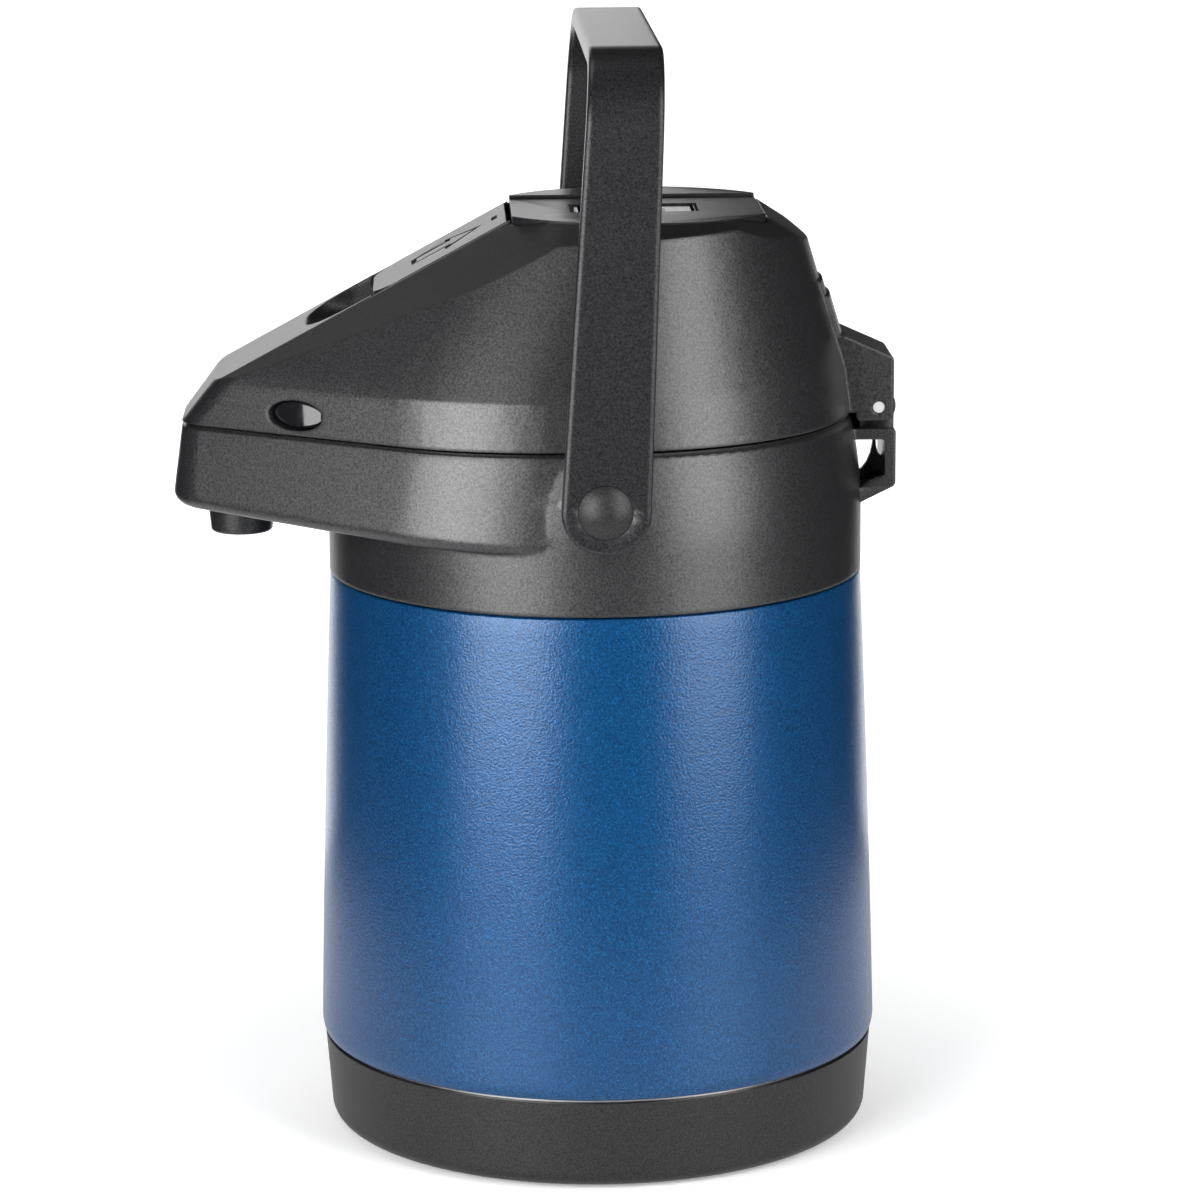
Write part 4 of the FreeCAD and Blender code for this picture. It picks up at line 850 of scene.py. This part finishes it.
class PUMPPOT_OT_screws(bpy.types.Operator):
    """Set the cross-recess screws of the base, deck and lid, and the handle's pivot screws"""

    bl_idname = "pumppot.screws"
    bl_label = "Screws"

    def execute(self, context):
        low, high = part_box("base_screws")
        head, thick = 4.6 * MM, 1.7 * MM
        turns = [math.radians(degrees) for degrees in (90, 210, 330)]
        places = [(SCREW_RING * math.cos(a), SCREW_RING * math.sin(a), low.z + thick) for a in turns]
        screws("base_screws", "pot", places, head, thick, high.z - low.z - thick, True)
        low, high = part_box("deck_screws")
        head, thick = 3.1 * MM, 1.0 * MM
        x, y = high.x - head, (low.y + high.y) / 2
        places = [(side * x, y, high.z - thick) for side in (1, -1)]
        screws("deck_screws", "pot", places, head, thick, high.z - low.z - thick, False)
        low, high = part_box("lid_screws")
        head, thick = 3.4 * MM, 1.7 * MM
        corners = [(x, y) for x in (low.x + head, high.x - head) for y in (low.y + head, high.y - head)]
        places = [(x, y, low.z + thick) for x, y in corners]
        screws("lid_screws", "lid", places, head, thick, high.z - low.z - thick, True)
        self.pivot_screws()
        return {"FINISHED"}

    def pivot_screws(self):
        """The handle turns under these heads, so they stand a hair off it."""
        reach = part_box("pivot_screws")[1].x
        piece = skin("pivot_screws", "pot", "bright_steel")
        piece.data.transform(Matrix.Scale(1 + SCREW_ROOM / reach, 4, (1, 0, 0)))


class PUMPPOT_OT_stage(bpy.types.Operator):
    """Set up the pale floor, white backdrop and walls, reflector cards, softboxes and camera"""

    bl_idname = "pumppot.stage"
    bl_label = "Studio"

    def execute(self, context):
        studio = context.scene.pump_pot_studio
        self.room(context.scene, studio)
        self.sweep(studio)
        self.walls(studio)
        self.cards(studio)
        self.softbox(
            "key", studio.key_power, turn=-38, height=0.38, distance=0.9, size=(0.6, 0.76), aim=0.38)
        self.softbox(
            "fill", studio.fill_power, turn=45, height=0.63, distance=0.9, size=(0.5, 1.26), aim=0.63)
        self.softbox(
            "top", studio.top_power, turn=247, height=1.75, distance=0.65, size=(0.9, 0.9), aim=0.2)
        self.camera(context.scene, studio)
        return {"FINISHED"}

    def room(self, scene, studio):
        """Faint even light from all round."""
        world = bpy.data.worlds.new("room")
        world.use_nodes = True
        back = world.node_tree.nodes["Background"]
        back.inputs["Color"].default_value = (1.0, 1.0, 1.0, 1.0)
        back.inputs["Strength"].default_value = studio.ambient
        scene.world = world
        scene.view_settings.view_transform = "Standard"

    def sweep(self, studio):
        """A floor that curves up into a backdrop behind the pot; gloss sees the cards instead of it."""
        front, back = 3.2, -1.5
        half, height = 3.2, 3.5
        bend = 0.9
        line = [(front, 0.0), (back, 0.0)]
        line += arc((back, bend), bend, 270, 180, 12)[1:]
        line.append((back - bend, height))
        mesh = bpy.data.meshes.new("sweep")
        points = [(x, side * half, z) for x, z in line for side in (-1, 1)]
        mesh.from_pydata(points, [], strip(len(line)))
        mesh.shade_smooth()
        finish = Finish("paper_sweep")
        fibres = finish.noise(9 * MM, 4.0)
        reach = finish.node("ShaderNodeVectorMath", operation="LENGTH")
        finish.link(finish.place, reach.inputs[0])
        finish.drive(
            base_color=finish.mix(fibres, (0.86, 0.86, 0.86), (0.9, 0.9, 0.9)),
            emission_strength=finish.spread(reach.outputs["Value"], 0.08, 0.4, 0.25, studio.backdrop))
        finish.set(roughness=0.9, emission_color=(1.0, 1.0, 1.0))
        mesh.materials.append(finish.material)
        paper = new_piece("paper_sweep", mesh)
        paper.visible_glossy = False
        paper.visible_shadow = False

    def walls(self, studio):
        """White walls round the studio, which only the camera sees."""
        radius, height = 3.1, 4.0
        rim = arc((0.0, 0.0), radius, 0, 360, 36)
        points = [(x, y, z) for x, y in rim for z in (-MM, height)]
        walls = self.glowing("studio_walls", points, strip(len(rim)), studio.walls)
        walls.visible_glossy = False
        walls.visible_diffuse = False
        walls.visible_shadow = False

    def cards(self, studio):
        """Reflector cards that only gloss sees: floor and wall behind the pot, and the table round it."""
        near, far = -0.3, -1.3
        narrow, wide = 0.3, 0.62
        low, high, step = 0.22, 0.8, 0.1
        floor = [(near, -narrow, 0.0), (near, narrow, 0.0), (far, wide, 0.0), (far, -wide, 0.0)]
        self.card("rim_card", floor, studio.card)
        wall = [(-wide, 0.0), (wide, 0.0), (wide, low), (step, low), (step, high), (-wide, high)]
        self.card("back_card", [(far, y, z) for y, z in wall], studio.card)
        self.button_card(studio)
        reach = 0.36
        table = [(x, y, -MM) for x, y in arc((0.0, 0.0), reach, 0, 360, 36)[:-1]]
        self.card("table_card", table, studio.table)

    def button_card(self, studio):
        """Small card where the camera's view of the near side button is mirrored to."""
        distance = 0.8
        inner, outer = 2.5 * MM, 40 * MM
        up = Vector((0, 0, 25 * MM))
        low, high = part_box("catch_button_right")
        axis = -Vector(next(j["axis"] for j in frame["joints"] if j["name"] == "right_catch_press"))
        face = (low + high) / 2 + axis * BUTTON_DEPTH / 2
        view = (face - self.eye(studio)).normalized()
        middle = face + view.reflect(axis) * distance
        along = Vector((-axis.y, axis.x, 0))
        near, far = middle + along * inner, middle + along * outer
        self.card("button_card", [near - up, far - up, far + up, near + up], studio.button_card)

    def eye(self, studio):
        """Where the camera stands."""
        turn = studio.camera_turn
        distance = studio.camera_distance
        return Vector((distance * math.cos(turn), -distance * math.sin(turn), studio.camera_height))

    def card(self, name, corners, strength):
        piece = self.glowing(name, corners, [tuple(range(len(corners)))], strength)
        piece.visible_camera = False
        piece.visible_diffuse = False
        piece.visible_shadow = False

    def glowing(self, name, points, faces, strength):
        mesh = bpy.data.meshes.new(name)
        mesh.from_pydata(points, [], faces)
        finish = Finish(name)
        finish.set(base_color=(0.8, 0.8, 0.8), emission_color=(1.0, 1.0, 1.0), emission_strength=strength)
        mesh.materials.append(finish.material)
        piece = new_piece(name, mesh)
        return piece

    def softbox(self, name, power, turn, height, distance, size, aim):
        """Area light at a turn in degrees round the pot, aimed at a height on its axis."""
        data = bpy.data.lights.new(name + "_softbox", "AREA")
        data.shape = "RECTANGLE"
        data.size, data.size_y = size
        data.energy = power
        lamp = new_piece(name + "_softbox", data)
        a = math.radians(turn)
        lamp.location = (distance * math.cos(a), distance * math.sin(a), height)
        towards = Vector((0, 0, aim)) - lamp.location
        lamp.rotation_euler = towards.to_track_quat("-Z", "Y").to_euler()

    def camera(self, scene, studio):
        """The photograph's view."""
        data = bpy.data.cameras.new("camera")
        data.lens = studio.lens
        data.sensor_width = 36.0
        data.shift_x = SHIFT / PICTURE
        data.clip_start = 0.05
        data.clip_end = 50.0
        camera = new_piece("camera", data)
        turn, pitch = studio.camera_turn, studio.camera_pitch
        level = math.cos(pitch)
        towards = Vector((-math.cos(turn) * level, math.sin(turn) * level, -math.sin(pitch)))
        roll = Quaternion((0, 0, 1), studio.camera_roll)
        camera.location = self.eye(studio)
        camera.rotation_mode = "QUATERNION"
        camera.rotation_quaternion = towards.to_track_quat("-Z", "Y") @ roll
        scene.camera = camera


OPERATORS = (
    PUMPPOT_OT_stage, PUMPPOT_OT_casing, PUMPPOT_OT_mouldings, PUMPPOT_OT_handle, PUMPPOT_OT_lid,
    PUMPPOT_OT_press, PUMPPOT_OT_bellows, PUMPPOT_OT_springs, PUMPPOT_OT_screws)


class PUMPPOT_PT_panel(bpy.types.Panel):
    """The pot's settings and pieces"""

    bl_idname = "PUMPPOT_PT_panel"
    bl_label = "Pump Pot"
    bl_space_type = "VIEW_3D"
    bl_region_type = "UI"
    bl_category = "Pump Pot"

    def draw(self, context):
        layout = self.layout
        scene = context.scene
        for settings in (scene.pump_pot_finishes, scene.pump_pot_sizes, scene.pump_pot_studio):
            box = layout.box()
            for key in settings.__annotations__:
                box.prop(settings, key)
        for operator in OPERATORS:
            layout.operator(operator.bl_idname)


CLASSES = (PumpPotFinishes, PumpPotSizes, PumpPotStudio) + OPERATORS + (PUMPPOT_PT_panel,)


def register():
    for made in CLASSES:
        bpy.utils.register_class(made)
    bpy.types.Scene.pump_pot_finishes = PointerProperty(type=PumpPotFinishes)
    bpy.types.Scene.pump_pot_sizes = PointerProperty(type=PumpPotSizes)
    bpy.types.Scene.pump_pot_studio = PointerProperty(type=PumpPotStudio)


def unregister():
    del bpy.types.Scene.pump_pot_studio
    del bpy.types.Scene.pump_pot_sizes
    del bpy.types.Scene.pump_pot_finishes
    for made in reversed(CLASSES):
        bpy.utils.unregister_class(made)


def main():
    register()
    make_finishes(bpy.context.scene.pump_pot_finishes)
    bpy.ops.pumppot.stage()
    bpy.ops.pumppot.casing()
    bpy.ops.pumppot.mouldings()
    bpy.ops.pumppot.handle()
    bpy.ops.pumppot.lid()
    bpy.ops.pumppot.press()
    bpy.ops.pumppot.bellows()
    bpy.ops.pumppot.springs()
    bpy.ops.pumppot.screws()


if __name__ == "__main__":
    main()
